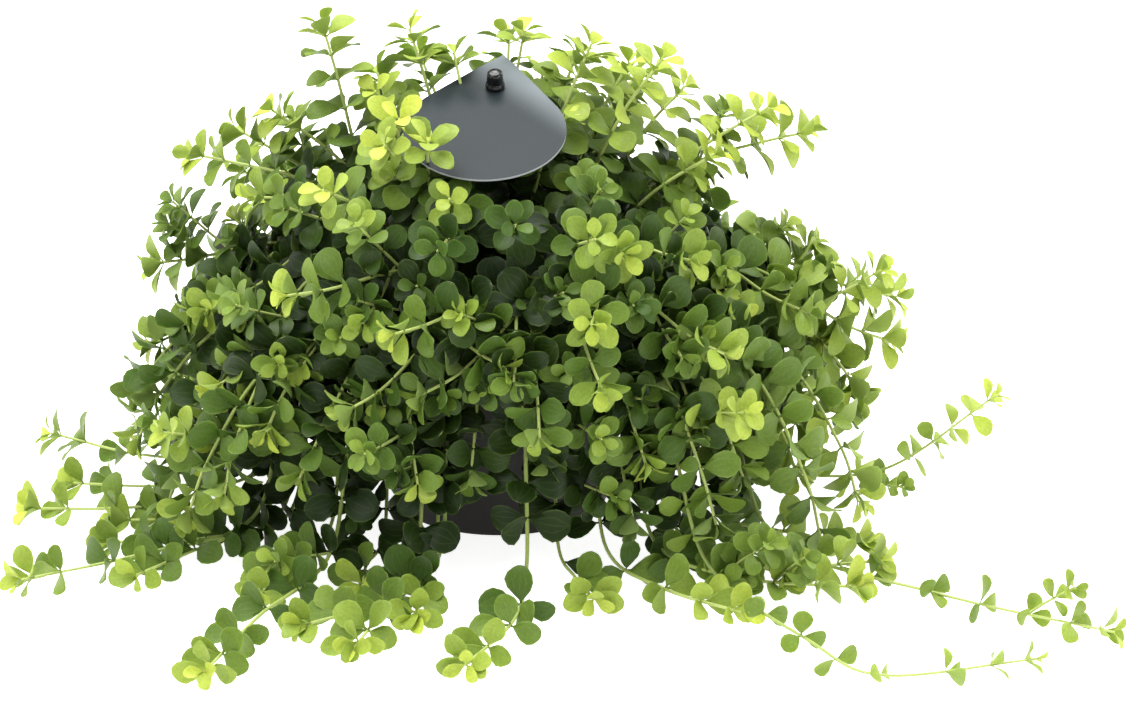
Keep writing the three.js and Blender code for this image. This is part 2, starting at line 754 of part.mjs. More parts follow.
// The four corners of a stem's side face, matched to the blade that grows from it
function matchRoot(quad, points, leaf) {
  const centre = quad.reduce((sum, i) => sum.add(points[i]), new THREE.Vector3()).divideScalar(4);
  const wanted = [[-1, -1], [1, -1], [1, 1], [-1, 1]].map(([right, high]) => new THREE.Vector3()
    .addScaledVector(leaf.across, right).addScaledVector(leaf.up, high * ROOT_FLATNESS));
  const score = (shift) => wanted.reduce((sum, direction, i) => {
    const corner = points[quad[(i + shift) % 4]].clone().sub(centre);
    return sum + corner.dot(direction);
  }, 0);
  const best = [0, 1, 2, 3].reduce((a, b) => (score(b) > score(a) ? b : a));
  return [0, 1, 2, 3].map((i) => quad[(i + best) % 4]);
}

// True where an edge of one face runs through the other, apart from corners that they share
function crosses(points, face, other) {
  return face.some((from, i) => {
    const to = face[(i + 1) % 3];
    if (other.includes(from) || other.includes(to)) {
      return false;
    }
    const ray = new THREE.Ray(points[from], points[to].clone().sub(points[from]).normalize());
    const hit = ray.intersectTriangle(...other.map((k) => points[k]), false, new THREE.Vector3());
    return hit !== null && hit.distanceTo(points[from]) < points[to].distanceTo(points[from]);
  });
}

// A blade replaces the side face that it grows from, unless it would fold into its own stem
function addBlade(points, faces, quad, leaf) {
  const count = points.length;
  const blade = growBlade(points, quad, leaf);
  const rest = faces.filter((face) => !face.every((i) => quad.includes(i)));
  const reach = boxOf(points.slice(count));
  quad.forEach((i) => reach.expandByPoint(points[i]));
  const touching = rest.filter((face) => reach.intersectsBox(boxOf(face.map((i) => points[i]))));
  const near = [...touching, ...blade];
  const meet = (face, other) => crosses(points, face, other) || crosses(points, other, face);
  const folded = blade.some((face) => near.some((other) => meet(face, other)));
  if (folded) {
    points.length = count;
    return faces;
  }
  return [...rest, ...blade];
}

function stemGeometry(stem) {
  const points = stem.rings.flatMap((ring) => ring.corners);
  const tipRing = 3 * (stem.rings.length - 1);
  const end = stem.route.at(stem.route.length);
  const tip = points.push(end.point.clone().addScaledVector(end.tangent, STEM_TIP)) - 1;
  let faces = [[0, 2, 1], ...[0, 1, 2].map((k) => [tipRing + k, tipRing + ((k + 1) % 3), tip])];
  for (let i = 0; i + 1 < stem.rings.length; i += 1) {
    const twist = stem.rings[i + 1].phase - stem.rings[i].phase;
    faces.push(...sideQuads(3 * i).flatMap((quad) => splitQuad(quad, twist)));
  }
  for (const [i, ring] of stem.rings.entries()) {
    for (const [k, leaf] of (ring.whorl?.leaves ?? []).entries()) {
      faces = leaf ? addBlade(points, faces, sideQuads(3 * i)[k], leaf) : faces;
    }
  }
  return fromTriangles(points, faces);
}

function growBlade(points, quad, leaf) {
  const [lowLeft, lowRight, highRight, highLeft] = matchRoot(quad, points, leaf);
  const { above, below } = bladeCorners(leaf, 0);
  const first = points.length;
  points.push(...above.slice(1, 5), ...below.slice(1, 5));
  const top = [highRight, first, first + 1, first + 2, first + 3, highLeft];
  const bottom = [lowRight, first + 4, first + 5, first + 6, first + 7, lowLeft];
  return bladeTriangles(top, bottom);
}

// The whole plant

const potShape = potGeometry();
const cardShape = cardGeometry();
const stakeShape = stakeGeometry();

const names = Object.entries(STEMS).flatMap(([group, list]) => list.map((_, i) => `${group}_stem_${i + 1}`));
const rooted = spreadRoots(Object.values(STEMS).flat());
const paths = rooted.map(routeOf);
bendClear(paths);
const soilShape = soilGeometry(paths.map((path) => path[1]));

const stems = paths.map((points, index) => {
  const route = new Route(points);
  const leafSize = rooted[index][7] ?? 1;
  const stem = { index, name: names[index], route, leafSize };
  stem.whorls = whorlsOf(route, index);
  stem.rings = ringsOf(stem);
  return stem;
});

const thicket = new Thicket();
for (const geometry of [potShape, soilShape, cardShape, stakeShape]) {
  geometry.computeBoundingBox();
  thicket.add(toSolid(geometry), geometry.boundingBox, { orders: [] });
}
stems.forEach((stem) => addStemPieces(thicket, stem));

const mostWhorls = Math.max(...stems.map((stem) => stem.whorls.length));
for (let order = 0; order < mostWhorls; order += 1) {
  for (const stem of stems.filter((s) => order < s.whorls.length)) {
    for (let k = 0; k < LEAVES_PER_WHORL; k += 1) {
      growLeaf(thicket, stem, stem.whorls[order], k);
    }
  }
}

const plant = new THREE.Group();

function addMesh(name, geometry, material) {
  const mesh = new THREE.Mesh(geometry, material);
  mesh.name = name;
  mesh.geometry.computeVertexNormals();
  plant.add(mesh);
}

addMesh("pot", potShape, materials.pot);
addMesh("soil", soilShape, materials.soil);
addMesh("label_stake", stakeShape, materials.stake);
addMesh("label_card", cardShape, materials.card);
for (const stem of stems) {
  const young = stem.name.startsWith("crown");
  addMesh(stem.name, stemGeometry(stem), young ? materials.young : materials.foliage);
}

export default plant;
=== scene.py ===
"""A small-leaved trailing peperomia in a plain dark pot, dressed around its CAD solids.

All sizes in the classes are millimetres; meshes are made in metres. The front of the plant looks along -Y.
"""

import json
import logging
import math
import random
from dataclasses import dataclass, field
from enum import Enum
from typing import Any, Iterable, Sequence

import bmesh
import bpy
from mathutils import Matrix, Vector, noise

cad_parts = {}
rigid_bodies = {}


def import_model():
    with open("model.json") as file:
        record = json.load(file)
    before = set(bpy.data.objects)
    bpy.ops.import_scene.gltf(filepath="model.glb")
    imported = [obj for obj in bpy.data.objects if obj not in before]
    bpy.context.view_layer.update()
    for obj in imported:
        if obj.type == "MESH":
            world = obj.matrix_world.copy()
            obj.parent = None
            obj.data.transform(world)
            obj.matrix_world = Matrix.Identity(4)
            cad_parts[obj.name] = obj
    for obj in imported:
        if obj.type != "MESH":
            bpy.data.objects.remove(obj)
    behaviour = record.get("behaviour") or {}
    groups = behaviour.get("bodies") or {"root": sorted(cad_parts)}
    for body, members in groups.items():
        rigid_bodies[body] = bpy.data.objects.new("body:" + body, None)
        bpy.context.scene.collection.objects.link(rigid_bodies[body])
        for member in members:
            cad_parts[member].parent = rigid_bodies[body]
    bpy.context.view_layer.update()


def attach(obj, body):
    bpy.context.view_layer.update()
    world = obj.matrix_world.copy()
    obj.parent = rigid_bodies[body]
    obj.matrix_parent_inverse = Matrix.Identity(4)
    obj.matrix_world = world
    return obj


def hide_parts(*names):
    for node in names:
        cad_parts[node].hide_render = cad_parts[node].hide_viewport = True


MM = 0.001
BODY = "root"
UP = Vector((0.0, 0.0, 1.0))

POT_HEIGHT = 98.0
NECK_HEIGHT = 91.0
SOIL_TOP = 86.0
LIP_RADIUS = 61.5
BASE_RADIUS = 43.0
HOLE_DEPTH = 8.0
LYING_HEIGHT = 8.0

# between which values a noise texture mostly lies
NOISE_LOW = 0.3
NOISE_HIGH = 0.7

log = logging.getLogger("peperomia")

Colour = tuple[float, float, float, float]
Triple = tuple[float, float, float]


# Helpers for colours, nodes and meshes


def linear(hex_colour: str) -> Colour:
    """Turns an sRGB hex colour into the linear colour that a shader socket takes.

    Args:
        hex_colour: The colour as "#rrggbb".

    Returns:
        Red, green, blue and alpha, linear.
    """
    channels = [int(hex_colour[at : at + 2], 16) / 255 for at in (1, 3, 5)]
    red, green, blue = (c / 12.92 if c <= 0.04045 else ((c + 0.055) / 1.055) ** 2.4 for c in channels)
    return red, green, blue, 1.0


def add_node(
    tree: bpy.types.NodeTree, kind: str, inputs: dict[str | int, Any] | Sequence[Any] = (), **settings: Any
) -> bpy.types.Node:
    """Adds one node with its settings, and links or sets its inputs.

    Args:
        tree: The node tree that gets the node.
        kind: The node's type name.
        inputs: What goes into the inputs, by name or number or in their order: the socket that
            feeds one, the node whose first output feeds it, or its value.
        **settings: Values for the node's own properties.

    Returns:
        The new node.
    """
    node = tree.nodes.new(kind)
    for name, value in settings.items():
        setattr(node, name, value)
    for key, value in (inputs if isinstance(inputs, dict) else dict(enumerate(inputs))).items():
        source = value.outputs[0] if isinstance(value, bpy.types.Node) else value
        if isinstance(source, bpy.types.NodeSocket):
            tree.links.new(source, node.inputs[key])
        else:
            node.inputs[key].default_value = source
    return node


def blank_material(name: str) -> tuple[bpy.types.Material, bpy.types.NodeTree]:
    """Makes a material with an empty node tree.

    Args:
        name: The material's name.

    Returns:
        The material and its tree.
    """
    material = bpy.data.materials.new(name)
    material.use_nodes = True
    material.node_tree.nodes.clear()
    return material, material.node_tree


def set_ramp(node: bpy.types.Node, stops: dict[float, str]) -> None:
    """Gives a colour ramp its stops.

    Args:
        node: The colour ramp node.
        stops: The sRGB hex colour of each stop by its place from 0 to 1, from low to high.
    """
    ramp = node.color_ramp
    while len(ramp.elements) < len(stops):
        ramp.elements.new(1.0)
    for element, (place, colour) in zip(ramp.elements, stops.items()):
        element.position = place
        element.color = linear(colour)


def blank_shape_tree(
    name: str, inputs: dict[str, str], output: str
) -> tuple[bpy.types.NodeTree, bpy.types.NodeOutputs]:
    """Makes a geometry node tree with its outer sockets.

    Args:
        name: The tree's name.
        inputs: The kind of each input socket by its name.
        output: The name of the geometry that it gives.

    Returns:
        The tree, and its inputs as the nodes inside find them.
    """
    tree = bpy.data.node_groups.new(name, "GeometryNodeTree")
    for socket, kind in inputs.items():
        tree.interface.new_socket(socket, in_out="INPUT", socket_type=f"NodeSocket{kind}")
    tree.interface.new_socket(output, in_out="OUTPUT", socket_type="NodeSocketGeometry")
    return tree, add_node(tree, "NodeGroupInput").outputs


def apply_tree(made: bpy.types.Object, tree: bpy.types.NodeTree, values: dict[str, Any]) -> bpy.types.Object:
    """Runs a geometry node tree on an object and keeps the plain mesh that it gives.

    Args:
        made: The object.
        tree: The tree.
        values: The value of each input by its name.

    Returns:
        The same object, with nothing live left on it.
    """
    modifier = made.modifiers.new(tree.name, "NODES")
    modifier.node_group = tree
    for socket in tree.interface.items_tree:
        if socket.in_out == "INPUT" and socket.name in values:
            modifier[socket.identifier] = values[socket.name]
    graph = bpy.context.evaluated_depsgraph_get()
    final = bpy.data.meshes.new_from_object(made.evaluated_get(graph), depsgraph=graph)
    made.modifiers.clear()
    made.data = final
    return made


def smooth_mesh(made: bmesh.types.BMesh, name: str, crease: float | None = None) -> bpy.types.Mesh:
    """Turns a closed shape into a smooth mesh whose faces point outwards.

    Args:
        made: The shape, which is freed.
        name: The mesh's name.
        crease: The angle in degrees from which an edge stays hard, or None to keep none hard.

    Returns:
        The mesh.
    """
    bmesh.ops.recalc_face_normals(made, faces=made.faces)
    mesh = bpy.data.meshes.new(name)
    made.to_mesh(mesh)
    made.free()
    mesh.shade_smooth()
    if crease is not None:
        mesh.set_sharp_from_angle(angle=math.radians(crease))
    return mesh


def place_object(name: str, data: bpy.types.ID) -> bpy.types.Object:
    """Puts a mesh, a lamp or a camera into the scene.

    Args:
        name: The object's name.
        data: The mesh, the lamp or the camera.

    Returns:
        The object, at the origin.
    """
    made = bpy.data.objects.new(name, data)
    bpy.context.scene.collection.objects.link(made)
    return made


def carry(made: bpy.types.Object, replaced: Iterable[str] = ()) -> bpy.types.Object:
    """Fixes a finished piece to the plant's body and hides the CAD nodes that it replaces.

    Args:
        made: The finished piece.
        replaced: The CAD nodes that the piece replaces.

    Returns:
        The same piece.
    """
    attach(made, BODY)
    names = tuple(replaced)
    if names:
        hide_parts(*names)
    log.info("%s: %d faces", made.name, len(made.data.polygons))
    return made


def mix(low: float, high: float, share: float) -> float:
    """Gives the value that lies at a share of the way from low to high."""
    return low + (high - low) * share


def clamp(value: float, low: float = 0.0, high: float = 1.0) -> float:
    """Keeps a value between two limits."""
    return min(max(value, low), high)


def polar(reach: float, turn: float, height: float) -> Vector:
    """Gives the point at a reach from the plant's axis; turn 0 is the front and 90 the right."""
    angle = math.radians(turn)
    return Vector((reach * math.sin(angle), -reach * math.cos(angle), height))


# Finishes


@dataclass(frozen=True)
class LeafTissue:
    """Fleshy leaf with a thin waxy skin, grown: a satin face, paler below, with three faint nerves."""

    # The wax gives broad soft highlights, and the flesh under it lets a little light spread.
    young: str = "#b7c44c"
    fresh: str = "#98ab42"
    grown: str = "#6c8430"
    old: str = "#455f20"
    # the darkest stop also stands for painted shade deep in the mound
    oldest: str = "#1d2f08"
    nerve: str = "#a9bf6a"
    below: str = "#8ea25c"
    below_share: float = 0.5  # how far the underside goes to its own colour
    nerve_bow: float = 0.24  # how far a side nerve bows out, as a share of the leaf's width
    nerve_half: float = 0.035  # half a nerve's width, as the same share
    nerve_blend: float = 0.02  # how softly the nerves meet
    nerve_share: float = 0.4  # how pale a nerve is beside the margin
    margin: float = 0.43  # where the pale margin starts from the middle, as the same share
    nerve_paleness: tuple[float, float] = (0.31, 0.1)  # how pale nerves are on young and on old leaves
    tone_values: tuple[float, float] = (0.78, 1.22)  # how dark and how light single leaves are
    tone_hues: tuple[float, float] = (0.508, 0.492)  # and how blue and how yellow
    patch_values: tuple[float, float] = (0.88, 1.1)  # how dark and how light the mottling is
    mottle: float = 1.1  # mm across one patch of the mottling
    pimple: float = 0.28  # mm across one of the skin's cells, drawn coarser than real so that it shows
    groove: float = 0.6  # how deep a nerve lies beside the height of the cells
    relief: float = 0.08  # mm from the skin's lowest to its highest point
    roughness: tuple[float, float] = (0.39, 0.52)

    def material(self) -> bpy.types.Material:
        """Builds the leaf material from the leaf's map, its age with painted shade added, and its tone.

        Returns:
            The material.
        """
        made, tree = blank_material("peperomia_leaf")
        age, tone, under = (
            add_node(tree, "ShaderNodeAttribute", attribute_name=name).outputs["Fac"]
            for name in ("leaf_age", "leaf_tone", "leaf_under")
        )
        leaf_map = add_node(tree, "ShaderNodeUVMap", uv_map="leaf_map")
        split = add_node(tree, "ShaderNodeSeparateXYZ", (leaf_map,))
        where = add_node(tree, "ShaderNodeTexCoord").outputs["Object"]
        # the age ramp, which also draws the mound's painted shade that is added to the age
        colour = add_node(tree, "ShaderNodeValToRGB", (age,))
        stops = {0.0: self.young, 0.24: self.fresh, 0.5: self.grown, 0.76: self.old, 1.0: self.oldest}
        set_ramp(colour, stops)
        # how far a point is from the middle nerve and from the bowed nerve of its side
        middle = add_node(tree, "ShaderNodeMath", (split, 0.5), operation="SUBTRACT")
        side = add_node(tree, "ShaderNodeMath", (middle,), operation="ABSOLUTE")
        arc = add_node(tree, "ShaderNodeMath", (split.outputs[1], math.pi), operation="MULTIPLY")
        bow = add_node(tree, "ShaderNodeMath", (arc,), operation="SINE")
        wide = add_node(tree, "ShaderNodeMath", (bow, self.nerve_bow), operation="MULTIPLY")
        apart = add_node(tree, "ShaderNodeMath", (side, wide), operation="SUBTRACT")
        outer = add_node(tree, "ShaderNodeMath", (apart,), operation="ABSOLUTE")
        near = add_node(tree, "ShaderNodeMath", (side, outer, self.nerve_blend), operation="SMOOTH_MIN")
        nerve, margin = (
            add_node(tree, "ShaderNodeMapRange", limits, interpolation_type="SMOOTHSTEP")
            for limits in (
                (near, 0.0, self.nerve_half, self.nerve_share, 0.0),
                (side, self.margin, 0.5, 0.0, 1.0),
            )
        )
        pale = add_node(tree, "ShaderNodeMath", (nerve, margin), operation="MAXIMUM")
        paleness = add_node(tree, "ShaderNodeMapRange", (age, 0.2, 0.9, *self.nerve_paleness))
        share = add_node(tree, "ShaderNodeMath", (pale, paleness), operation="MULTIPLY")
        veined = add_node(
            tree, "ShaderNodeMix", {0: share, 6: colour, 7: linear(self.nerve)}, data_type="RGBA"
        )
        patches, cells = (
            add_node(tree, "ShaderNodeTexNoise", {"Vector": where, "Scale": 1 / (size * MM), "Detail": fine})
            for size, fine in ((self.mottle, 3.0), (self.pimple, 1.0))
        )
        patch = add_node(tree, "ShaderNodeMapRange", (patches, NOISE_LOW, NOISE_HIGH, *self.patch_values))
        shade = add_node(tree, "ShaderNodeMapRange", (tone, 0.0, 1.0, *self.tone_values))
        value = add_node(tree, "ShaderNodeMath", (patch, shade), operation="MULTIPLY")
        hue = add_node(tree, "ShaderNodeMapRange", (tone, 0.0, 1.0, *self.tone_hues))
        toned = add_node(
            tree, "ShaderNodeHueSaturation", {"Hue": hue, "Value": value, "Color": veined.outputs[2]}
        )
        below = add_node(tree, "ShaderNodeMath", (under, self.below_share), operation="MULTIPLY")
        faced = add_node(tree, "ShaderNodeMix", {0: below, 6: toned, 7: linear(self.below)}, data_type="RGBA")
        height = add_node(tree, "ShaderNodeMath", (nerve, -self.groove, cells), operation="MULTIPLY_ADD")
        bump = add_node(
            tree, "ShaderNodeBump", {"Strength": 0.25, "Distance": self.relief * MM, "Height": height}
        )
        gloss = add_node(tree, "ShaderNodeMapRange", (patches, NOISE_LOW, NOISE_HIGH, *self.roughness))
        shader = add_node(
            tree,
            "ShaderNodeBsdfPrincipled",
            {
                "Base Color": faced.outputs[2],
                "Roughness": gloss,
                "IOR": 1.43,
                "Specular IOR Level": 0.27,
                "Subsurface Weight": 0.12,
                "Subsurface Radius": (0.6, 1.0, 0.25),
                "Subsurface Scale": 1.2 * MM,
                "Normal": bump,
            },
        )
        add_node(tree, "ShaderNodeOutputMaterial", (shader,))
        return made


@dataclass(frozen=True)
class StemTissue:
    """Smooth fleshy stem, grown: pale green at the tip, duller towards the soil."""

    # Its thin skin is full of sap, so it looks a little wet and lets some light through.
    tip: str = "#bfcd78"
    middle: str = "#9aac58"
    base: str = "#6f7246"
    streak: float = 0.5  # mm between the faint streaks
    streak_values: tuple[float, float] = (0.85, 1.12)  # how dark and how light they are
    relief: float = 0.06  # mm

    def material(self) -> bpy.types.Material:
        """Builds the stem material from the stem's age.

        Returns:
            The material.
        """
        made, tree = blank_material("peperomia_stem")
        age = add_node(tree, "ShaderNodeAttribute", attribute_name="stem_age").outputs["Fac"]
        where = add_node(tree, "ShaderNodeTexCoord").outputs["Object"]
        colour = add_node(tree, "ShaderNodeValToRGB", (age,))
        set_ramp(colour, {0.0: self.tip, 0.5: self.middle, 1.0: self.base})
        streaks = add_node(
            tree, "ShaderNodeTexNoise", {"Vector": where, "Scale": 1 / (self.streak * MM), "Detail": 2.0}
        )
        value = add_node(tree, "ShaderNodeMapRange", (streaks, NOISE_LOW, NOISE_HIGH, *self.streak_values))
        toned = add_node(tree, "ShaderNodeHueSaturation", {"Value": value, "Color": colour})
        bump = add_node(
            tree, "ShaderNodeBump", {"Strength": 0.2, "Distance": self.relief * MM, "Height": streaks}
        )
        shader = add_node(
            tree,
            "ShaderNodeBsdfPrincipled",
            {
                "Base Color": toned,
                "Roughness": 0.42,
                "IOR": 1.4,
                "Subsurface Weight": 0.1,
                "Subsurface Radius": (0.6, 1.0, 0.3),
                "Subsurface Scale": 1.0 * MM,
                "Normal": bump,
            },
        )
        add_node(tree, "ShaderNodeOutputMaterial", (shader,))
        return made


@dataclass(frozen=True)
class MouldedPlastic:
    """Dark plastic, moulded: a satin skin with a fine grain and faint flow clouds."""

    # The mould's etched face gives even, soft highlights that are a little duller in patches.
    name: str = "moulded_polypropylene"
    dark: str = "#181413"
    light: str = "#251f1d"
    grain: float = 0.35  # mm between the grain's pits
    cloud: float = 14.0  # mm across a flow cloud
    roughness: tuple[float, float] = (0.4, 0.56)
    relief: float = 0.05  # mm

    def material(self) -> bpy.types.Material:
        """Builds the plastic.

        Returns:
            The material.
        """
        made, tree = blank_material(self.name)
        where = add_node(tree, "ShaderNodeTexCoord").outputs["Object"]
        clouds, pits = (
            add_node(tree, "ShaderNodeTexNoise", {"Vector": where, "Scale": 1 / (size * MM), "Detail": fine})
            for size, fine in ((self.cloud, 4.0), (self.grain, 2.0))
        )
        colour = add_node(tree, "ShaderNodeValToRGB", (clouds,))
        set_ramp(colour, {0.3: self.dark, 0.75: self.light})
        gloss = add_node(tree, "ShaderNodeMapRange", (clouds, NOISE_LOW, NOISE_HIGH, *self.roughness))
        bump = add_node(
            tree, "ShaderNodeBump", {"Strength": 0.3, "Distance": self.relief * MM, "Height": pits}
        )
        shader = add_node(
            tree,
            "ShaderNodeBsdfPrincipled",
            {"Base Color": colour, "Roughness": gloss, "IOR": 1.49, "Normal": bump},
        )
        add_node(tree, "ShaderNodeOutputMaterial", (shader,))
        return made


@dataclass(frozen=True)
class PottingPeat:
    """Peat and bark fines, loose: matt, crumbly and dark brown."""

    # Its open crumbs swallow light, so it has no highlight and looks darkest between them.
    wet: str = "#1d140e"
    dry: str = "#4a3626"
    crumb: float = 2.2  # mm across a crumb
    relief: float = 0.8  # mm

    def material(self) -> bpy.types.Material:
        """Builds the peat.

        Returns:
            The material.
        """
        made, tree = blank_material("potting_peat")
        where = add_node(tree, "ShaderNodeTexCoord").outputs["Object"]
        crumbs = add_node(tree, "ShaderNodeTexVoronoi", {"Vector": where, "Scale": 1 / (self.crumb * MM)})
        fibres = add_node(
            tree, "ShaderNodeTexNoise", {"Vector": where, "Scale": 0.4 / (self.crumb * MM), "Detail": 6.0}
        )
        colour = add_node(tree, "ShaderNodeValToRGB", (fibres,))
        set_ramp(colour, {0.32: self.wet, 0.72: self.dry})
        bump = add_node(
            tree, "ShaderNodeBump", {"Strength": 0.8, "Distance": self.relief * MM, "Height": crumbs}
        )
        shader = add_node(
            tree,
            "ShaderNodeBsdfPrincipled",
            {"Base Color": colour, "Roughness": 0.95, "Specular IOR Level": 0.25, "Normal": bump},
        )
        add_node(tree, "ShaderNodeOutputMaterial", (shader,))
        return made


@dataclass(frozen=True)
class CardStock:
    """Coated card, cut: a slightly grainy tone, drawn paler towards one side as a painted sheen."""

    # The matt coating hides the fibres but for a faint grain, and has a weak, wide sheen.
    name: str
    tone: str
    worn: str
    # the painted sheen: a reflection drawn into the tone, which pales it towards one side
    painted_sheen: str
    sheen_towards: Triple = (0.58, 0.52, 0.18)
    sheen_from: Triple = (-1.0, -6.0, 172.3)
    sheen_start: float = -4.0  # mm towards the paler side where the painted sheen starts
    sheen_end: float = 14.0  # mm where it has changed
    fibre: float = 0.4  # mm across a fibre
    relief: float = 0.04  # mm
    roughness: float = 0.42
    specular: float = 0.14

    def material(self) -> bpy.types.Material:
        """Builds the card, with its painted sheen.

        Returns:
            The material.
        """
        made, tree = blank_material(self.name)
        where = add_node(tree, "ShaderNodeTexCoord").outputs["Object"]
        fibres = add_node(
            tree, "ShaderNodeTexNoise", {"Vector": where, "Scale": 1 / (self.fibre * MM), "Detail": 5.0}
        )
        colour = add_node(tree, "ShaderNodeValToRGB", (fibres,))
        set_ramp(colour, {0.35: self.tone, 0.7: self.worn})
        # painted sheen: the tone is mixed towards a paler colour along one direction
        centre = Vector(self.sheen_from) * MM
        away = add_node(tree, "ShaderNodeVectorMath", (where, centre), operation="SUBTRACT")
        along = add_node(tree, "ShaderNodeVectorMath", (away, self.sheen_towards), operation="DOT_PRODUCT")
        share = add_node(
            tree,
            "ShaderNodeMapRange",
            (along.outputs["Value"], self.sheen_start * MM, self.sheen_end * MM, 0.0, 1.0),
            interpolation_type="SMOOTHSTEP",
        )
        shaded = add_node(
            tree, "ShaderNodeMix", {0: share, 6: colour, 7: linear(self.painted_sheen)}, data_type="RGBA"
        )
        bump = add_node(
            tree, "ShaderNodeBump", {"Strength": 0.25, "Distance": self.relief * MM, "Height": fibres}
        )
        shader = add_node(
            tree,
            "ShaderNodeBsdfPrincipled",
            {
                "Base Color": shaded.outputs[2],
                "Roughness": self.roughness,
                "IOR": 1.5,
                "Specular IOR Level": self.specular,
                "Normal": bump,
            },
        )
        add_node(tree, "ShaderNodeOutputMaterial", (shader,))
        return made


# How the plant grows


class StemKind(Enum):
    """The ways in which a stem leaves the pot."""

    UP = "up"
    ARCH = "arch"
    HANG = "hang"
    TRAIL = "trail"
    SWEEP = "sweep"


# how old the leaves of each kind get, where 1 is the darkest
OLDEST = {
    StemKind.UP: 0.66,
    StemKind.ARCH: 0.85,
    StemKind.HANG: 0.95,
    StemKind.TRAIL: 0.95,
    StemKind.SWEEP: 0.85,
}


@dataclass(frozen=True)
class Stem:
    """One stem: where it leaves the soil, how high it rises and where its tip is."""

    kind: StemKind
    root_turn: float  # degrees round the plant, from the front to the right
    root_reach: float  # mm from the plant's axis
    crest: float  # mm, the height of its highest bend
    tip_turn: float
    tip_reach: float
    tip_height: float
    leaf_size: float = 1.0  # beside the usual size

    def handles(self) -> list[Vector]:
        """Gives the points that the stem's curve passes.

        Returns:
            The points from the root to the tip.
        """
        root, end, crest, tip_height = self.root_reach, self.tip_reach, self.crest, self.tip_height

        def at(reach: float, turn: float, height: float) -> Vector:
            """Gives a point at a share of the way from the root's turn to the tip's."""
            return polar(reach, mix(self.root_turn, self.tip_turn, turn), height)

        def falling(share: float) -> float:
            """Gives the height at a share of the way down from the crest to the tip."""
            return mix(crest, tip_height, share)

        start = [at(root, 0, SOIL_TOP - HOLE_DEPTH), at(root, 0, SOIL_TOP + 3)]
        tip = at(end, 1, tip_height)
        if self.kind is StemKind.UP:
            return [
                *start,
                at(mix(root, end, 0.18), 0.1, mix(SOIL_TOP, tip_height, 0.36)),
                at(mix(root, end, 0.6), 0.5, mix(SOIL_TOP, tip_height, 0.76)),
                tip,
            ]
        if self.kind is StemKind.ARCH:
            return [
                *start,
                at(mix(root, end, 0.16), 0.1, max(POT_HEIGHT + 5, mix(SOIL_TOP, crest, 0.72))),
                at(mix(root, end, 0.5), 0.4, crest),
                at(mix(root, end, 0.82), 0.8, falling(0.72)),
                tip,
            ]
        over = LIP_RADIUS + 9
        crossing = [at(mix(root, LIP_RADIUS, 0.5), 0, crest - 3), at(over, 0, crest)]
        if self.kind is StemKind.HANG:
            out = max(LIP_RADIUS + 15, end - 16)
            bends = [at(mix(over, out, 0.75), 0.3, falling(0.32)), at(mix(out, end, 0.5), 0.7, falling(0.72))]
            return [*start, *crossing, *bends, tip]
        land = mix(LIP_RADIUS, end, 0.34)
        lying = ((0.5, 0.0), (0.78, 0.06)) if self.kind is StemKind.SWEEP else ((0.5, 0.5),)
        return [
            *start,
            *crossing,
            at(mix(over, land, 0.62), 0.15, mix(crest, LYING_HEIGHT, 0.5)),
            at(land, 0.2, LYING_HEIGHT + 5),
            *(at(mix(land, end, share), turn, LYING_HEIGHT) for share, turn in lying),
            tip,
        ]

    def route(self, step: float = 3.0, pieces: int = 24) -> list[Vector]:
        """Samples the smooth curve through the handles.

        Args:
            step: The length between points in mm.
            pieces: The number of fine steps from one handle to the next.

        Returns:
            The points from the root to the tip.
        """
        handles = self.handles()
        padded = [handles[0] * 2 - handles[1], *handles, handles[-1] * 2 - handles[-2]]
        fine: list[Vector] = []
        for before, here, there, after in zip(padded, padded[1:], padded[2:], padded[3:]):
            slope = there - before
            curve = 2 * before - 5 * here + 4 * there - after
            twist = 3 * here - before - 3 * there + after
            for count in range(pieces):
                t = count / pieces
                fine.append(0.5 * (2 * here + slope * t + curve * t**2 + twist * t**3))
        fine.append(handles[-1].copy())
        return even_points(fine, step)


def even_points(line: Sequence[Vector], step: float) -> list[Vector]:
    """Puts points at even lengths along a line.

    Args:
        line: The line's points.
        step: The length between the new points.

    Returns:
        The new points, from the line's first to its last.
    """
    lengths = [0.0]
    for here, there in zip(line, line[1:]):
        lengths.append(lengths[-1] + (there - here).length)
    count = max(2, round(lengths[-1] / step))
    made: list[Vector] = []
    at = 0
    for number in range(count + 1):
        goal = lengths[-1] * number / count
        while at < len(line) - 2 and lengths[at + 1] < goal:
            at += 1
        gap = lengths[at + 1] - lengths[at]
        made.append(line[at].lerp(line[at + 1], (goal - lengths[at]) / gap if gap else 0.0))
    return made


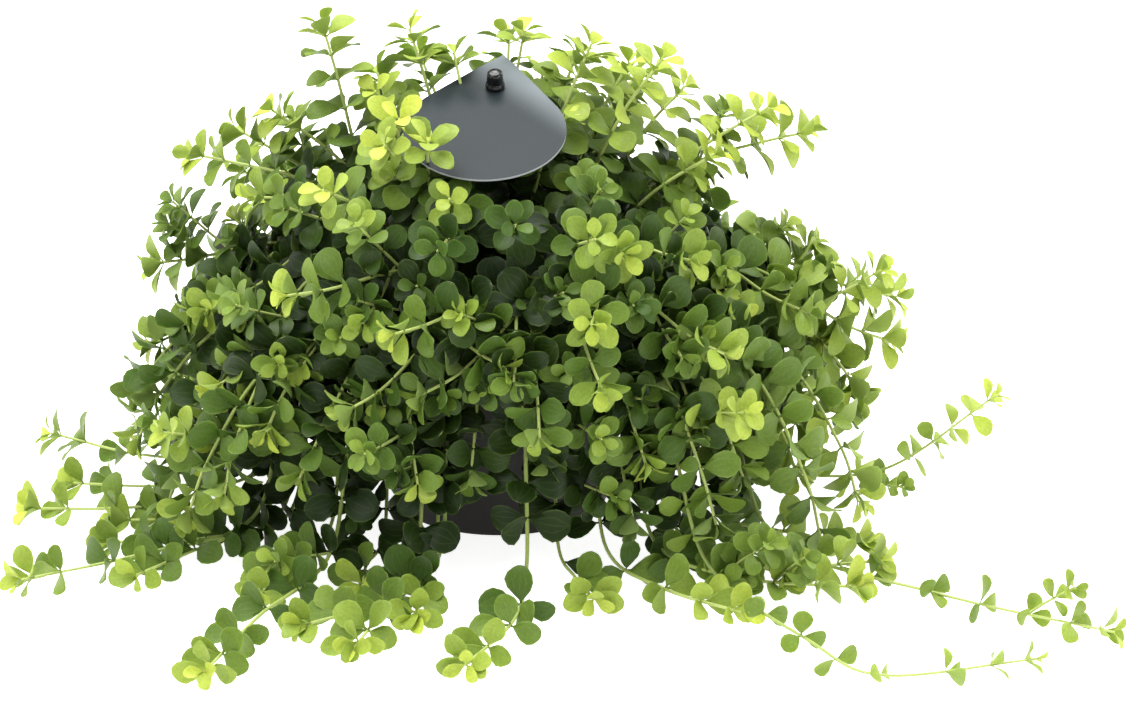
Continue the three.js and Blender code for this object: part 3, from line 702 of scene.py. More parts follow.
@dataclass(frozen=True)
class LeafForm:
    """One spoon-shaped leaf of length 1 along +Y with its face to +Z, closed all round."""

    name: str
    width: float = 0.86
    widest: float = 0.58  # how far along the blade it is widest
    stalk: float = 0.12  # the stalk's length
    stalk_half: float = 0.028  # half its width
    stalk_thick: float = 0.024
    cup: float = 0.1  # how far the sides rise
    bend: float = 0.12  # how far the middle rises over both ends
    skew: float = 0.0  # how far one side rises over the other
    notch: float = 0.02  # how deep the end is notched
    blunt: float = 0.5  # smaller is blunter
    end: float = 0.11  # half the end's width, as a share of the leaf's
    thickness: float = 0.045
    rings: tuple[float, ...] = (0.14, 0.36, 0.6, 0.79, 0.92, 0.975)  # where along the blade it has points
    across: tuple[float, ...] = (-1.0, -0.5, 0.0, 0.5, 1.0)  # and where from side to side

    def half_width(self, share: float) -> float:
        """Gives half the blade's width at a share of its length."""
        half = self.width / 2
        if share < self.widest:
            return half * math.sin(math.pi / 2 * share / self.widest) ** 0.85
        return half * math.cos(math.pi / 2 * (share - self.widest) / (1 - self.widest)) ** self.blunt

    def rise(self, sideways: float, length: float) -> float:
        """Gives the height of the leaf's middle sheet at a point."""
        cupped = self.cup * (2 * sideways / self.width) ** 2 * self.width
        return cupped + self.bend * (0.25 - (length - 0.5) ** 2) * 2 + self.skew * sideways * length

    def mesh(self) -> bpy.types.Mesh:
        """Builds the leaf with its map and its underside marked.

        Returns:
            The mesh.
        """
        points: list[Vector] = []
        spots: list[tuple[float, float]] = []

        def put(u: float, half: float, length: float, lift: float) -> int:
            """Adds a point, where u goes from -1 to 1 across the leaf, and gives its number."""
            points.append(Vector((u * half, length, self.rise(u * half, length) + lift)))
            spots.append((0.5 + u / 2, length))
            return len(points) - 1

        levels = [(0.0, self.stalk_half, self.stalk_thick), (self.stalk, self.stalk_half * 1.3, 0.02)]
        for share in self.rings:
            levels.append((mix(self.stalk, 1.0, share), self.half_width(share), self.thickness / 2))
        rings: list[list[int]] = []
        for length, half, thick in levels:
            top = [put(u, half, length, thick * (1 - u * u)) for u in self.across]
            low = [put(u, half, length, -thick * (1 - u * u)) for u in reversed(self.across[1:-1])]
            rings.append(top + low)
        half = self.width * self.end
        end = [put(u, half, 1.0 - 0.02 * abs(u) ** 2 - self.notch * (1 - abs(u)), 0.0) for u in self.across]
        rings.append(end + end[-2:0:-1])

        top_faces = len(self.across) - 1
        faces: list[tuple[int, ...]] = [tuple(reversed(rings[0]))]
        under = [0.0]
        for here, there in zip(rings, rings[1:]):
            for side in range(len(here)):
                after = (side + 1) % len(here)
                faces.append((here[side], here[after], there[after], there[side]))
                under.append(float(side >= top_faces))
        mesh = bpy.data.meshes.new(self.name)
        mesh.from_pydata(points, [], faces)
        mesh.attributes.new("leaf_under", "FLOAT", "FACE").data.foreach_set("value", under)
        leaf_map = mesh.uv_layers.new(name="leaf_map")
        for loop in mesh.loops:
            leaf_map.data[loop.index].uv = spots[loop.vertex_index]
        mesh.shade_smooth()
        rims = {frozenset(pair) for pair in zip(end, end[1:])}
        for row in (0, top_faces):
            rim = [ring[row] for ring in rings[2:]]
            rims |= {frozenset(pair) for pair in zip(rim, rim[1:])}
        for edge in mesh.edges:
            edge.use_edge_sharp = frozenset(edge.vertices) in rims
        return mesh


class LeafAge(Enum):
    """The leaf forms that suit an age, as the first and last number in the sorted set of forms."""

    BUD = (0, 1)
    YOUNG = (2, 3)
    GROWN = (4, 8)


LEAF_FORMS = (
    LeafForm("leaf_0_bud", width=0.6, widest=0.6, cup=0.18, bend=0.1, blunt=0.62, end=0.07),
    LeafForm("leaf_1_bud", width=0.66, widest=0.62, cup=0.12, bend=0.18, blunt=0.58, end=0.08),
    LeafForm("leaf_2_young", width=0.66, widest=0.62, cup=0.15, bend=0.18, blunt=0.58, end=0.09),
    LeafForm("leaf_3_young", width=0.72, widest=0.62, cup=0.09, bend=0.24, skew=0.05, blunt=0.54),
    LeafForm("leaf_4_grown", width=0.74, widest=0.62, cup=0.14, bend=0.2, blunt=0.56),
    LeafForm("leaf_5_grown", width=0.86, widest=0.58, cup=0.13, bend=0.15, notch=0.03),
    LeafForm("leaf_6_grown", width=0.8, widest=0.62, cup=0.05, bend=0.28, skew=0.06),
    LeafForm("leaf_7_grown", width=0.7, widest=0.65, cup=0.16, bend=0.2, skew=-0.08, blunt=0.6),
    LeafForm("leaf_8_grown", width=0.84, widest=0.57, cup=-0.06, bend=0.24),
)


@dataclass(frozen=True)
class Habit:
    """How leaves sit along one sort of stem: each row has a value a whorl, counted from the tip."""

    spacing: tuple[float, ...]  # mm to the next whorl
    lengths: tuple[float, ...]  # mm, the leaves' lengths
    opening: tuple[float, ...]  # degrees between the leaves and the stem's direction
    bare_from: float  # mm over the root that have no leaves
    shoots: float  # how likely a whorl has a side shoot

    def at(self, row: tuple[float, ...], count: int) -> float:
        """Gives a row's value for one whorl; the last one goes on."""
        return row[min(count, len(row) - 1)]


CROWN_HABIT = Habit(
    spacing=(4.5, 8.5, 11.0, 11.5, 12.0),
    lengths=(9.5, 13.0, 14.5, 14.5, 14.5, 14.5),
    opening=(52, 70, 76, 82),
    bare_from=30.0,
    shoots=0.16,
)
MOUND_HABIT = Habit(
    spacing=(3.5, 8.0, 10.0, 11.0, 12.0, 13.0),
    lengths=(9.5, 13.0, 14.5, 15.0, 15.0, 15.5, 16.0),
    opening=(48, 64, 72, 78, 84),
    bare_from=26.0,
    shoots=0.12,
)
FLOOR_HABIT = Habit(
    spacing=(4.0, 12.0, 18.0, 21.0, 23.0, 24.0),
    lengths=(9.5, 13.0, 14.0, 14.5, 15.0, 15.0),
    opening=(46, 62, 70, 76, 84),
    bare_from=26.0,
    shoots=0.12,
)
SHOOT_HABIT = Habit(
    spacing=(3.0, 7.0, 8.5, 10.0),
    lengths=(8.0, 11.0, 12.5, 13.0),
    opening=(46, 62, 70, 76),
    bare_from=4.0,
    shoots=0.0,
)

# how far single whorls and leaves stray from the rule
SPACING_DRAW = (0.85, 1.15)
WHORL_TURN_DRAW = (38, 62)
MISSING_LEAF = 0.4
LEAF_TURN_DRAW = (-0.18, 0.18)
OPENING_DRAW = (-10, 10)
LENGTH_DRAW = (0.84, 1.1)
BREADTH_DRAW = (0.92, 1.08)
AGE_DRAW = (-0.07, 0.07)
OWN_TONE = 0.6
SHOOT_LENGTH_DRAW = (14, 30)

# the highest age that a stem's youngest leaves may have: on outer stems, and between them in light or shade;
# the higher value in shade is painted shade on the inner tips
OUTER_DULLEST = 0.16
LIGHT_DULLEST = 0.3
SHADE_DULLEST = 0.62

# what every point of a piece carries: the kind of each value, and the value where none is given
POINT_VALUES: dict[str, tuple[str, Any]] = {
    "is_leaf": ("BOOLEAN", False),
    "stem_radius": ("FLOAT", 0.0),
    "stem_age": ("FLOAT", 0.0),
    "leaf_form": ("INT", 0),
    # the leaf's age with painted shade added
    "leaf_age": ("FLOAT", 0.0),
    "leaf_tone": ("FLOAT", 0.0),
    "leaf_turn": ("FLOAT_VECTOR", (0.0, 0.0, 0.0)),
    "leaf_size": ("FLOAT_VECTOR", (0.0, 0.0, 0.0)),
}


@dataclass
class Growth:
    """The stem lines and leaf points of one piece while it grows."""

    seed: int
    tone: float = 0.5  # how light the shoot's leaves are
    dulled: float = 0.0  # the age of its youngest leaves
    leaf_size: float = 1.0  # their size beside the usual one
    places: list[Vector] = field(default_factory=list)
    edges: list[tuple[int, int]] = field(default_factory=list)
    values: dict[str, list[Any]] = field(default_factory=lambda: {name: [] for name in POINT_VALUES})

    def __post_init__(self) -> None:
        """Starts the piece's own random draws."""
        self.rng = random.Random(self.seed)

    def start_shoot(self, dullest: float) -> None:
        """Draws how light and how fresh the next shoot's leaves are.

        Args:
            dullest: The highest age that its youngest leaves may have.
        """
        self.tone = self.rng.random()
        self.dulled = self.rng.uniform(0.0, dullest)

    def record(self, place: Vector, **given: Any) -> int:
        """Adds one point with its values.

        Args:
            place: The point in mm.
            **given: Its values; the others get a neutral one.

        Returns:
            The point's number.
        """
        self.places.append(place * MM)
        for name, (_, neutral) in POINT_VALUES.items():
            self.values[name].append(given.get(name, neutral))
        return len(self.places) - 1

    def add_stem(self, line: Sequence[Vector], thick: float, thin: float, old: float) -> None:
        """Adds a stem's line.

        Args:
            line: Its points in mm, from root to tip.
            thick: Its radius at the root.
            thin: Its radius at the tip.
            old: Its age at the root, where the tip is 0.
        """
        numbers = []
        for count, place in enumerate(line):
            share = count / (len(line) - 1)
            radius = mix(thick, thin, share**1.3) * MM
            numbers.append(self.record(place, stem_radius=radius, stem_age=old * (1 - share) ** 0.8))
        self.edges.extend(zip(numbers, numbers[1:]))

    def add_leaf(
        self, root: Vector, along: Vector, face: Vector, length: float, age: float, forms: LeafAge
    ) -> None:
        """Adds one leaf, with its own small differences in width, age and tone.

        Args:
            root: Where its stalk starts, in mm.
            along: Its direction.
            face: Where its upper face looks, roughly.
            length: Its length in mm.
            age: 0 for the youngest to 1 for the oldest, with painted shade added deep in the mound.
            forms: The forms that suit it.
        """
        across = along.cross(face)
        if across.length < 1e-3:
            across = along.cross(UP + Vector((0.3, 0.1, 0)))
        across.normalize()
        turn = Matrix((across, along, across.cross(along))).transposed().to_euler()
        broad = length * self.rng.uniform(*BREADTH_DRAW)
        self.record(
            root,
            is_leaf=True,
            leaf_form=self.rng.randint(*forms.value),
            leaf_age=clamp(age + self.rng.uniform(*AGE_DRAW)),
            leaf_tone=mix(self.tone, self.rng.random(), OWN_TONE),
            leaf_turn=tuple(turn),
            leaf_size=(broad * MM, length * MM, length * MM),
        )

    def mesh(self, name: str) -> bpy.types.Mesh:
        """Makes the mesh of stem lines and leaf points with their values.

        Args:
            name: The mesh's name.

        Returns:
            The mesh.
        """
        mesh = bpy.data.meshes.new(name)
        mesh.from_pydata(self.places, self.edges, [])
        for key, (kind, _) in POINT_VALUES.items():
            values = self.values[key]
            held = mesh.attributes.new(key, kind, "POINT").data
            if kind == "FLOAT_VECTOR":
                held.foreach_set("vector", [part for value in values for part in value])
            else:
                held.foreach_set("value", values)
        return mesh


@dataclass(frozen=True)
class Surroundings:
    """What the leaves keep clear of or turn to: pot, floor, card, light and a bare patch before the pot."""

    card: "Label"
    pot_clearance: float = 2.0
    floor_clearance: float = 2.9
    blade_dip: float = 0.22  # how far a blade dips under its axis, as a share of its length
    tries: int = 6  # how often a leaf is turned before it is left out
    bare_patch: Triple = (6.0, -86.0, 0.0)
    bare_size: Triple = (24.0, 22.0, 26.0)  # half its width, half its depth, and its height
    mound_height: float = 170.0  # where leaves look up the most
    core_radius: float = 40.0  # inside it, leaves look less to the side
    lean_low: float = 1.0  # how far leaves turn outward on the floor
    lean_high: float = 0.35  # and at the mound's height
    upward: float = 0.9
    front_low: float = 0.95  # how far they turn forward on the floor
    front_high: float = 0.4
    front_depth: float = 60.0  # how far behind the axis leaves still turn forward
    # the mound's painted shade: how far under its surface leaves are drawn darker
    shade_top: float = 175.0  # the mound's surface over the axis
    shade_fall: float = 60.0  # how much lower its surface is at its edge
    shade_reach: float = 118.0  # how far out its edge is
    shade_depth: float = 45.0  # how far under the surface it is fully dark
    shade_width: float = 42.0  # how far inside the edge it is fully dark
    right_painted_shade: float = 0.55  # painted light: how dark old leaves are drawn on the better-lit right, beside those on the left

    def light_at(self, place: Vector) -> Vector:
        """Gives the direction that leaves at a place turn to: outward and forward low down, up near the top.

        Args:
            place: The place in mm.

        Returns:
            The direction.
        """
        outward = Vector((place.x, place.y, 0.0))
        if outward.length < 1:
            return UP.copy()
        high = clamp(place.z / self.mound_height)
        lean = mix(self.lean_low, self.lean_high, high) * clamp(outward.length / self.core_radius)
        forward = clamp((self.front_depth - place.y) / self.front_depth)
        ahead = mix(self.front_low, self.front_high, high**2) * forward
        return (outward.normalized() * lean + UP * self.upward + Vector((0.0, -ahead, 0.0))).normalized()

    def is_bare(self, place: Vector) -> bool:
        """Says whether a place lies in the patch before the pot's foot where no leaf hangs."""
        away = place - Vector(self.bare_patch)
        width, depth, height = self.bare_size
        return abs(away.x) < width and abs(away.y) < depth and away.z < height

    def painted_side_shade_at(self, turn: float) -> float:
        """Gives how dark old leaves are drawn on one side: less on the right, as painted light for the side
        that gets more light.
        """
        return mix(1.0, self.right_painted_shade, max(math.sin(math.radians(turn)), 0.0))

    def shade_at(self, place: Vector) -> float:
        """Gives how deep in the shade of the mound a place is, from 0 to 1."""
        reach = math.hypot(place.x, place.y)
        surface = self.shade_top - self.shade_fall * (reach / self.shade_reach) ** 2
        under = clamp((surface - place.z) / self.shade_depth)
        return under * clamp((self.shade_reach - reach) / self.shade_width)

    def pot_radius(self, height: float) -> float:
        """Gives the pot's outer radius at a height."""
        if height > POT_HEIGHT:
            return 0.0
        return mix(BASE_RADIUS, LIP_RADIUS, clamp(height / NECK_HEIGHT))

    def clear_direction(self, root: Vector, along: Vector, length: float) -> Vector | None:
        """Turns a leaf until it is clear of the pot, the floor and the card.

        Args:
            root: Where the leaf starts, in mm.
            along: The direction it would have.
            length: Its length in mm.

        Returns:
            The direction it gets, or None where nothing is clear.
        """
        if self.is_bare(root + along * length * 0.6):
            return None
        turned = along.normalized()
        for _ in range(self.tries):
            tip = root + turned * length
            middle = root + turned * length * 0.55
            low = self.floor_clearance + length * self.blade_dip - min(tip.z, middle.z)
            if low > 0:
                turned = (turned + UP * (low / length + 0.05)).normalized()
                continue
            reach = Vector((tip.x, tip.y, 0.0)).length
            inside = self.pot_radius(tip.z) + self.pot_clearance - reach
            if tip.z < POT_HEIGHT + 2 and inside > 0 and root.z < POT_HEIGHT:
                outward = Vector((root.x, root.y, 0.0)).normalized()
                turned = (turned + outward * (inside / length + 0.1)).normalized()
                continue
            return None if self.card.is_cut_by(root, tip) else turned
        return None


@dataclass
class Plant:
    """Grows leaves and side shoots along the stems, and makes their pieces."""

    around: Surroundings
    leaf: bpy.types.Material
    stem: bpy.types.Material
    thick: float = 0.95  # mm, a stem's radius at its root
    thin: float = 0.55  # and at its tip
    stem_sides: int = 8
    lying_below: float = 20.0  # mm, the height under which stems lie on the floor
    first_whorl: float = 0.6  # mm from the tip
    turning_young: float = 0.3  # how far a bud turns its face to the light
    turning_old: float = 0.72
    painted_shade: float = 0.68  # painted shade: how much darker leaves are drawn deep in the mound, added to their age
    shoot_step: float = 2.5  # mm between the points of a side shoot
    shoot_lowest: float = 6.0
    shoot_clearance: float = 4.0
    shoot_dullest: float = 0.6
    shoot_age: float = 0.35  # the age of its stem at its root

    def __post_init__(self) -> None:
        """Makes the leaf forms and the node tree that every piece shares."""
        self.forms = bpy.data.collections.new("leaf_forms")
        for form in LEAF_FORMS:
            self.forms.objects.link(bpy.data.objects.new(form.name, form.mesh()))
        self.tree = self.foliage_tree()

    def foliage_tree(self) -> bpy.types.NodeTree:
        """Builds the tree that turns stem lines into tubes and leaf points into leaves.

        Returns:
            The geometry node tree.
        """
        sockets = {
            "Lines": "Geometry",
            "Leaf forms": "Collection",
            "Leaf material": "Material",
            "Stem material": "Material",
            "Stem sides": "Int",
            "Leaf scale": "Float",
        }
        tree, given = blank_shape_tree("stems_and_leaves", sockets, "Foliage")
        is_leaf, radius, form, turn, size = (
            add_node(tree, "GeometryNodeInputNamedAttribute", (name,), data_type=POINT_VALUES[name][0])
            for name in ("is_leaf", "stem_radius", "leaf_form", "leaf_turn", "leaf_size")
        )
        parted = add_node(tree, "GeometryNodeSeparateGeometry", (given["Lines"], is_leaf), domain="POINT")
        lines = add_node(tree, "GeometryNodeMeshToCurve", (parted.outputs[1],))
        ring = add_node(
            tree, "GeometryNodeCurvePrimitiveCircle", {"Resolution": given["Stem sides"], "Radius": 1.0}
        )
        tubes = add_node(
            tree, "GeometryNodeCurveToMesh", {0: lines, 1: ring, "Scale": radius, "Fill Caps": True}
        )
        smooth = add_node(tree, "GeometryNodeSetShadeSmooth", (tubes,))
        forms = add_node(
            tree,
            "GeometryNodeCollectionInfo",
            {0: given["Leaf forms"], "Separate Children": True, "Reset Children": True},
        )
        scaled = add_node(
            tree, "ShaderNodeVectorMath", {0: size, "Scale": given["Leaf scale"]}, operation="SCALE"
        )
        placed = add_node(
            tree,
            "GeometryNodeInstanceOnPoints",
            {
                "Points": parted,
                "Instance": forms,
                "Pick Instance": True,
                "Instance Index": form,
                "Rotation": turn,
                "Scale": scaled,
            },
        )
        real = add_node(tree, "GeometryNodeRealizeInstances", (placed,))
        joined = add_node(tree, "GeometryNodeJoinGeometry")
        for part, material in ((smooth, "Stem material"), (real, "Leaf material")):
            dressed = add_node(tree, "GeometryNodeSetMaterial", {0: part, "Material": given[material]})
            tree.links.new(dressed.outputs[0], joined.inputs[0])
        add_node(tree, "NodeGroupOutput", (joined,))
        return tree

    def grow_leaves(self, growth: Growth, line: Sequence[Vector], habit: Habit, old: float) -> None:
        """Sets whorls of leaves along a line, from its tip back.

        Args:
            growth: The piece that gets them.
            line: The stem's even points in mm, from root to tip.
            habit: The leaves' sizes and spacing.
            old: The age that the oldest leaves reach.
        """
        rng = growth.rng
        step = (line[1] - line[0]).length
        total = step * (len(line) - 1)
        back = self.first_whorl
        phase = rng.uniform(0, math.tau)
        count = 0
        while back < total - habit.bare_from:
            spot = (total - back) / step
            low = min(int(spot), len(line) - 2)
            place = line[low].lerp(line[low + 1], spot - low)
            ahead = (line[min(low + 2, len(line) - 1)] - line[max(low - 1, 0)]).normalized()
            here = habit if place.z > self.lying_below or habit is SHOOT_HABIT else FLOOR_HABIT
            self.grow_whorl(growth, place, ahead, here, count, phase, old)
            if count > 2 and rng.random() < here.shoots:
                self.grow_shoot(growth, place, ahead, old)
            back += here.at(here.spacing, count) * rng.uniform(*SPACING_DRAW)
            phase += math.radians(rng.uniform(*WHORL_TURN_DRAW))
            count += 1

    def grow_whorl(
        self, growth: Growth, place: Vector, ahead: Vector, habit: Habit, count: int, phase: float, old: float
    ) -> None:
        """Sets one whorl of three or four leaves round a stem, or of two or three where the leaves are small.

        Args:
            growth: The piece that gets them.
            place: The whorl's place in mm.
            ahead: The stem's direction to its tip.
            habit: The leaves' sizes and spacing.
            count: The whorl's number from the tip.
            phase: The first leaf's turn round the stem.
            old: The age that the oldest leaves reach.
        """
        rng = growth.rng
        light = self.around.light_at(place)
        side = ahead.cross(UP if abs(ahead.z) < 0.9 else Vector((1, 0, 0))).normalized()
        other = ahead.cross(side)
        full = 4 if growth.leaf_size > 0.9 else 3
        number = full - 1 if count == 0 or (count > 2 and rng.random() < MISSING_LEAF) else full
        forms = LeafAge.BUD if count < 2 else LeafAge.YOUNG if count < 4 else LeafAge.GROWN
        turning = mix(self.turning_young, self.turning_old, clamp(count / 5))
        if habit is FLOOR_HABIT:
            turning = mix(turning, self.turning_old, 0.7) * growth.leaf_size
        # painted shade: leaves deep in the mound get extra age, so they are drawn darker
        shaded = self.painted_shade * self.around.shade_at(place)
        age = mix(growth.dulled, old, clamp(count / 6) ** 0.75) + shaded
        for leaf in range(number):
            angle = phase + math.tau * leaf / number + rng.uniform(*LEAF_TURN_DRAW)
            outward = side * math.cos(angle) + other * math.sin(angle)
            opening = math.radians(habit.at(habit.opening, count) + rng.uniform(*OPENING_DRAW))
            along = ahead * math.cos(opening) + outward * math.sin(opening)
            own_face = ahead * math.sin(opening) - outward * math.cos(opening)
            along = (along - light * along.dot(light) * turning * 0.6).normalized()
            length = habit.at(habit.lengths, count) * growth.leaf_size * rng.uniform(*LENGTH_DRAW)
            cleared = self.around.clear_direction(place, along, length)
            if cleared is None:
                continue
            jitter = Vector((rng.uniform(-1, 1), rng.uniform(-1, 1), rng.uniform(-1, 1))) * 0.5
            face = own_face * (1 - turning) + light * turning * 1.3 + jitter
            growth.add_leaf(place, cleared, face, length, age, forms)

    def grow_shoot(self, growth: Growth, place: Vector, ahead: Vector, old: float) -> None:
        """Grows a short side shoot with a bright tip from a whorl.

        Args:
            growth: The piece that gets it.
            place: Where it leaves the stem, in mm.
            ahead: The stem's direction to its tip.
            old: The age that the oldest leaves reach.
        """
        rng = growth.rng
        light = self.around.light_at(place)
        sideways = ahead.cross(light)
        if sideways.length < 0.05:
            return
        sideways = sideways.normalized() * rng.choice((-1, 1))
        steps = round(rng.uniform(*SHOOT_LENGTH_DRAW) / self.shoot_step)
        start = (ahead * 0.5 + sideways * 0.7 + light * 0.4).normalized()
        finish = (light * 0.8 + start * 0.6).normalized()
        line = [place.copy()]
        for count in range(steps):
            line.append(line[-1] + start.lerp(finish, count / steps).normalized() * self.shoot_step)
        tip = line[-1]
        if tip.z < self.shoot_lowest or self.around.card.is_cut_by(place, tip):
            return
        if math.hypot(tip.x, tip.y) < self.around.pot_radius(tip.z) + self.shoot_clearance:
            return
        growth.start_shoot(self.shoot_dullest)
        growth.add_stem(line, self.thin * 1.1, self.thin * 0.8, self.shoot_age)
        self.grow_leaves(growth, line, SHOOT_HABIT, mix(growth.dulled, old, 0.6))

    def grow_stem(self, growth: Growth, stem: Stem, dullest: float) -> None:
        """Grows one stem with its leaves.

        Args:
            growth: The piece that gets it.
            stem: The stem.
            dullest: The highest age that its youngest leaves may have.
        """
        line = stem.route()
        growth.start_shoot(dullest)
        growth.leaf_size = stem.leaf_size
        slim = min(stem.leaf_size, 1.0)
        thickness = mix(0.6, 1.0, slim)
        growth.add_stem(line, self.thick * thickness, self.thin * thickness, 1.0)
        habit = CROWN_HABIT if stem.kind is StemKind.UP else MOUND_HABIT
        # painted light: old leaves on the right are drawn less dark
        old = OLDEST[stem.kind] * mix(0.4, 1.0, slim) * self.around.painted_side_shade_at(stem.tip_turn)
        self.grow_leaves(growth, line, habit, old)

    def piece(
        self,
        name: str,
        stems: Sequence[Stem],
        seed: int,
        replaced: Iterable[str] = (),
        dullest: float = OUTER_DULLEST,
    ) -> bpy.types.Object:
        """Makes one piece of stems and leaves.

        Args:
            name: The piece's name.
            stems: Its stems.
            seed: The start of its random draws.
            replaced: The CAD nodes that it replaces.
            dullest: The highest age that its stems' youngest leaves may have.

        Returns:
            The finished piece.
        """
        growth = Growth(seed)
        for stem in stems:
            self.grow_stem(growth, stem, dullest)
        values = {
            "Leaf forms": self.forms,
            "Leaf material": self.leaf,
            "Stem material": self.stem,
            "Stem sides": self.stem_sides,
            "Leaf scale": 1.0,
        }
        made = place_object(name, growth.mesh(name))
        return carry(apply_tree(made, self.tree, values), replaced)

    def clean_up(self) -> None:
        """Removes the leaf forms once all pieces are made."""
        for form in list(self.forms.objects):
            bpy.data.objects.remove(form)
        bpy.data.collections.remove(self.forms)


def stems_of(text: str) -> tuple[Stem, ...]:
    """Reads stems from lines of a kind and six or seven sizes.

    Args:
        text: One stem a line: kind, root turn, root reach, crest, tip turn, tip reach, tip height
            and, where its leaves aren't of the usual size, their relative size. Turns are in
            degrees, and the crest is 0 where the stem has none.

    Returns:
        The stems.
    """
    made = []
    for line in text.strip().splitlines():
        kind, *sizes = line.split()
        made.append(Stem(StemKind(kind), *(float(size) for size in sizes)))
    return tuple(made)


STEMS = {
    "crown": stems_of("""
        up -80 48 0 -98 69 194
        up -80 12 0 -106 36 192
        up 160 6 0 146 18 190
        up 60 12 0 90 36 188
        up 110 22 0 111 55 176
        up 72 24 0 81 64 185
        up 175 18 0 176 50 180
        up -150 20 0 -150 66 170
    """),
    "left": stems_of("""
        up -95 30 0 -101 107 149
        up -85 26 0 -90 88 162
        arch -82 36 136 -90 119 144
        up -35 22 0 -37 69 164
        arch -92 40 107 -90 137 99
        arch -78 44 106 -86 138 68
        arch -54 40 110 -61 124 68
        hang -72 44 104 -82 144 34
        hang -106 44 104 -108 140 26
        hang -52 45 102 -56 142 24
    """),
    "front": stems_of("""
        up -12 24 0 -14 70 147
        arch -18 38 118 -44 111 113
        arch 0 44 104 -30 110 73
        hang -26 44 102 -16 105 46
        hang 10 44 104 9 106 66
        arch 20 34 118 21 110 85
        arch 32 42 110 47 117 90
    """),
    "right": stems_of("""
        up 85 30 0 90 105 163
        arch 94 38 140 95 122 150
        arch 46 34 122 51 94 120
        arch 88 44 104 91 158 84
        arch 76 44 104 84 155 72
        hang 80 38 104 86 143 46
        hang 60 44 104 62 131 33
        hang 104 44 104 106 138 30
        hang 70 46 102 72 148 16
    """),
    "back": stems_of("""
        up 142 28 0 140 88 160
        arch 166 34 132 168 114 136
        arch -156 36 130 -154 118 126
        arch -126 36 124 -122 128 116
        hang 176 44 104 178 140 56
        arch 131 42 118 130 134 82
        hang -152 44 104 -154 146 40
        hang -122 44 104 -124 148 60
    """),
    "trail": stems_of("""
        trail 54 45 104 56 271 9 0.75
        sweep 36 36 106 48 260 9 0.7
        trail 40 44 104 57 173 12
        trail 24 45 102 35 159 7
        trail 16 38 106 17 126 8
        trail 9 44 104 -3 177 8
        trail -10 45 104 -26 160 8
        trail -36 40 106 -29 209 8
        trail -60 40 106 -60 206 8
        trail -76 36 110 -79 189 9
        trail -98 45 104 -100 190 14
        trail 94 45 104 91 200 42 0.75
        trail 158 38 106 156 190 9
        trail -136 42 106 -138 184 9
    """),
}

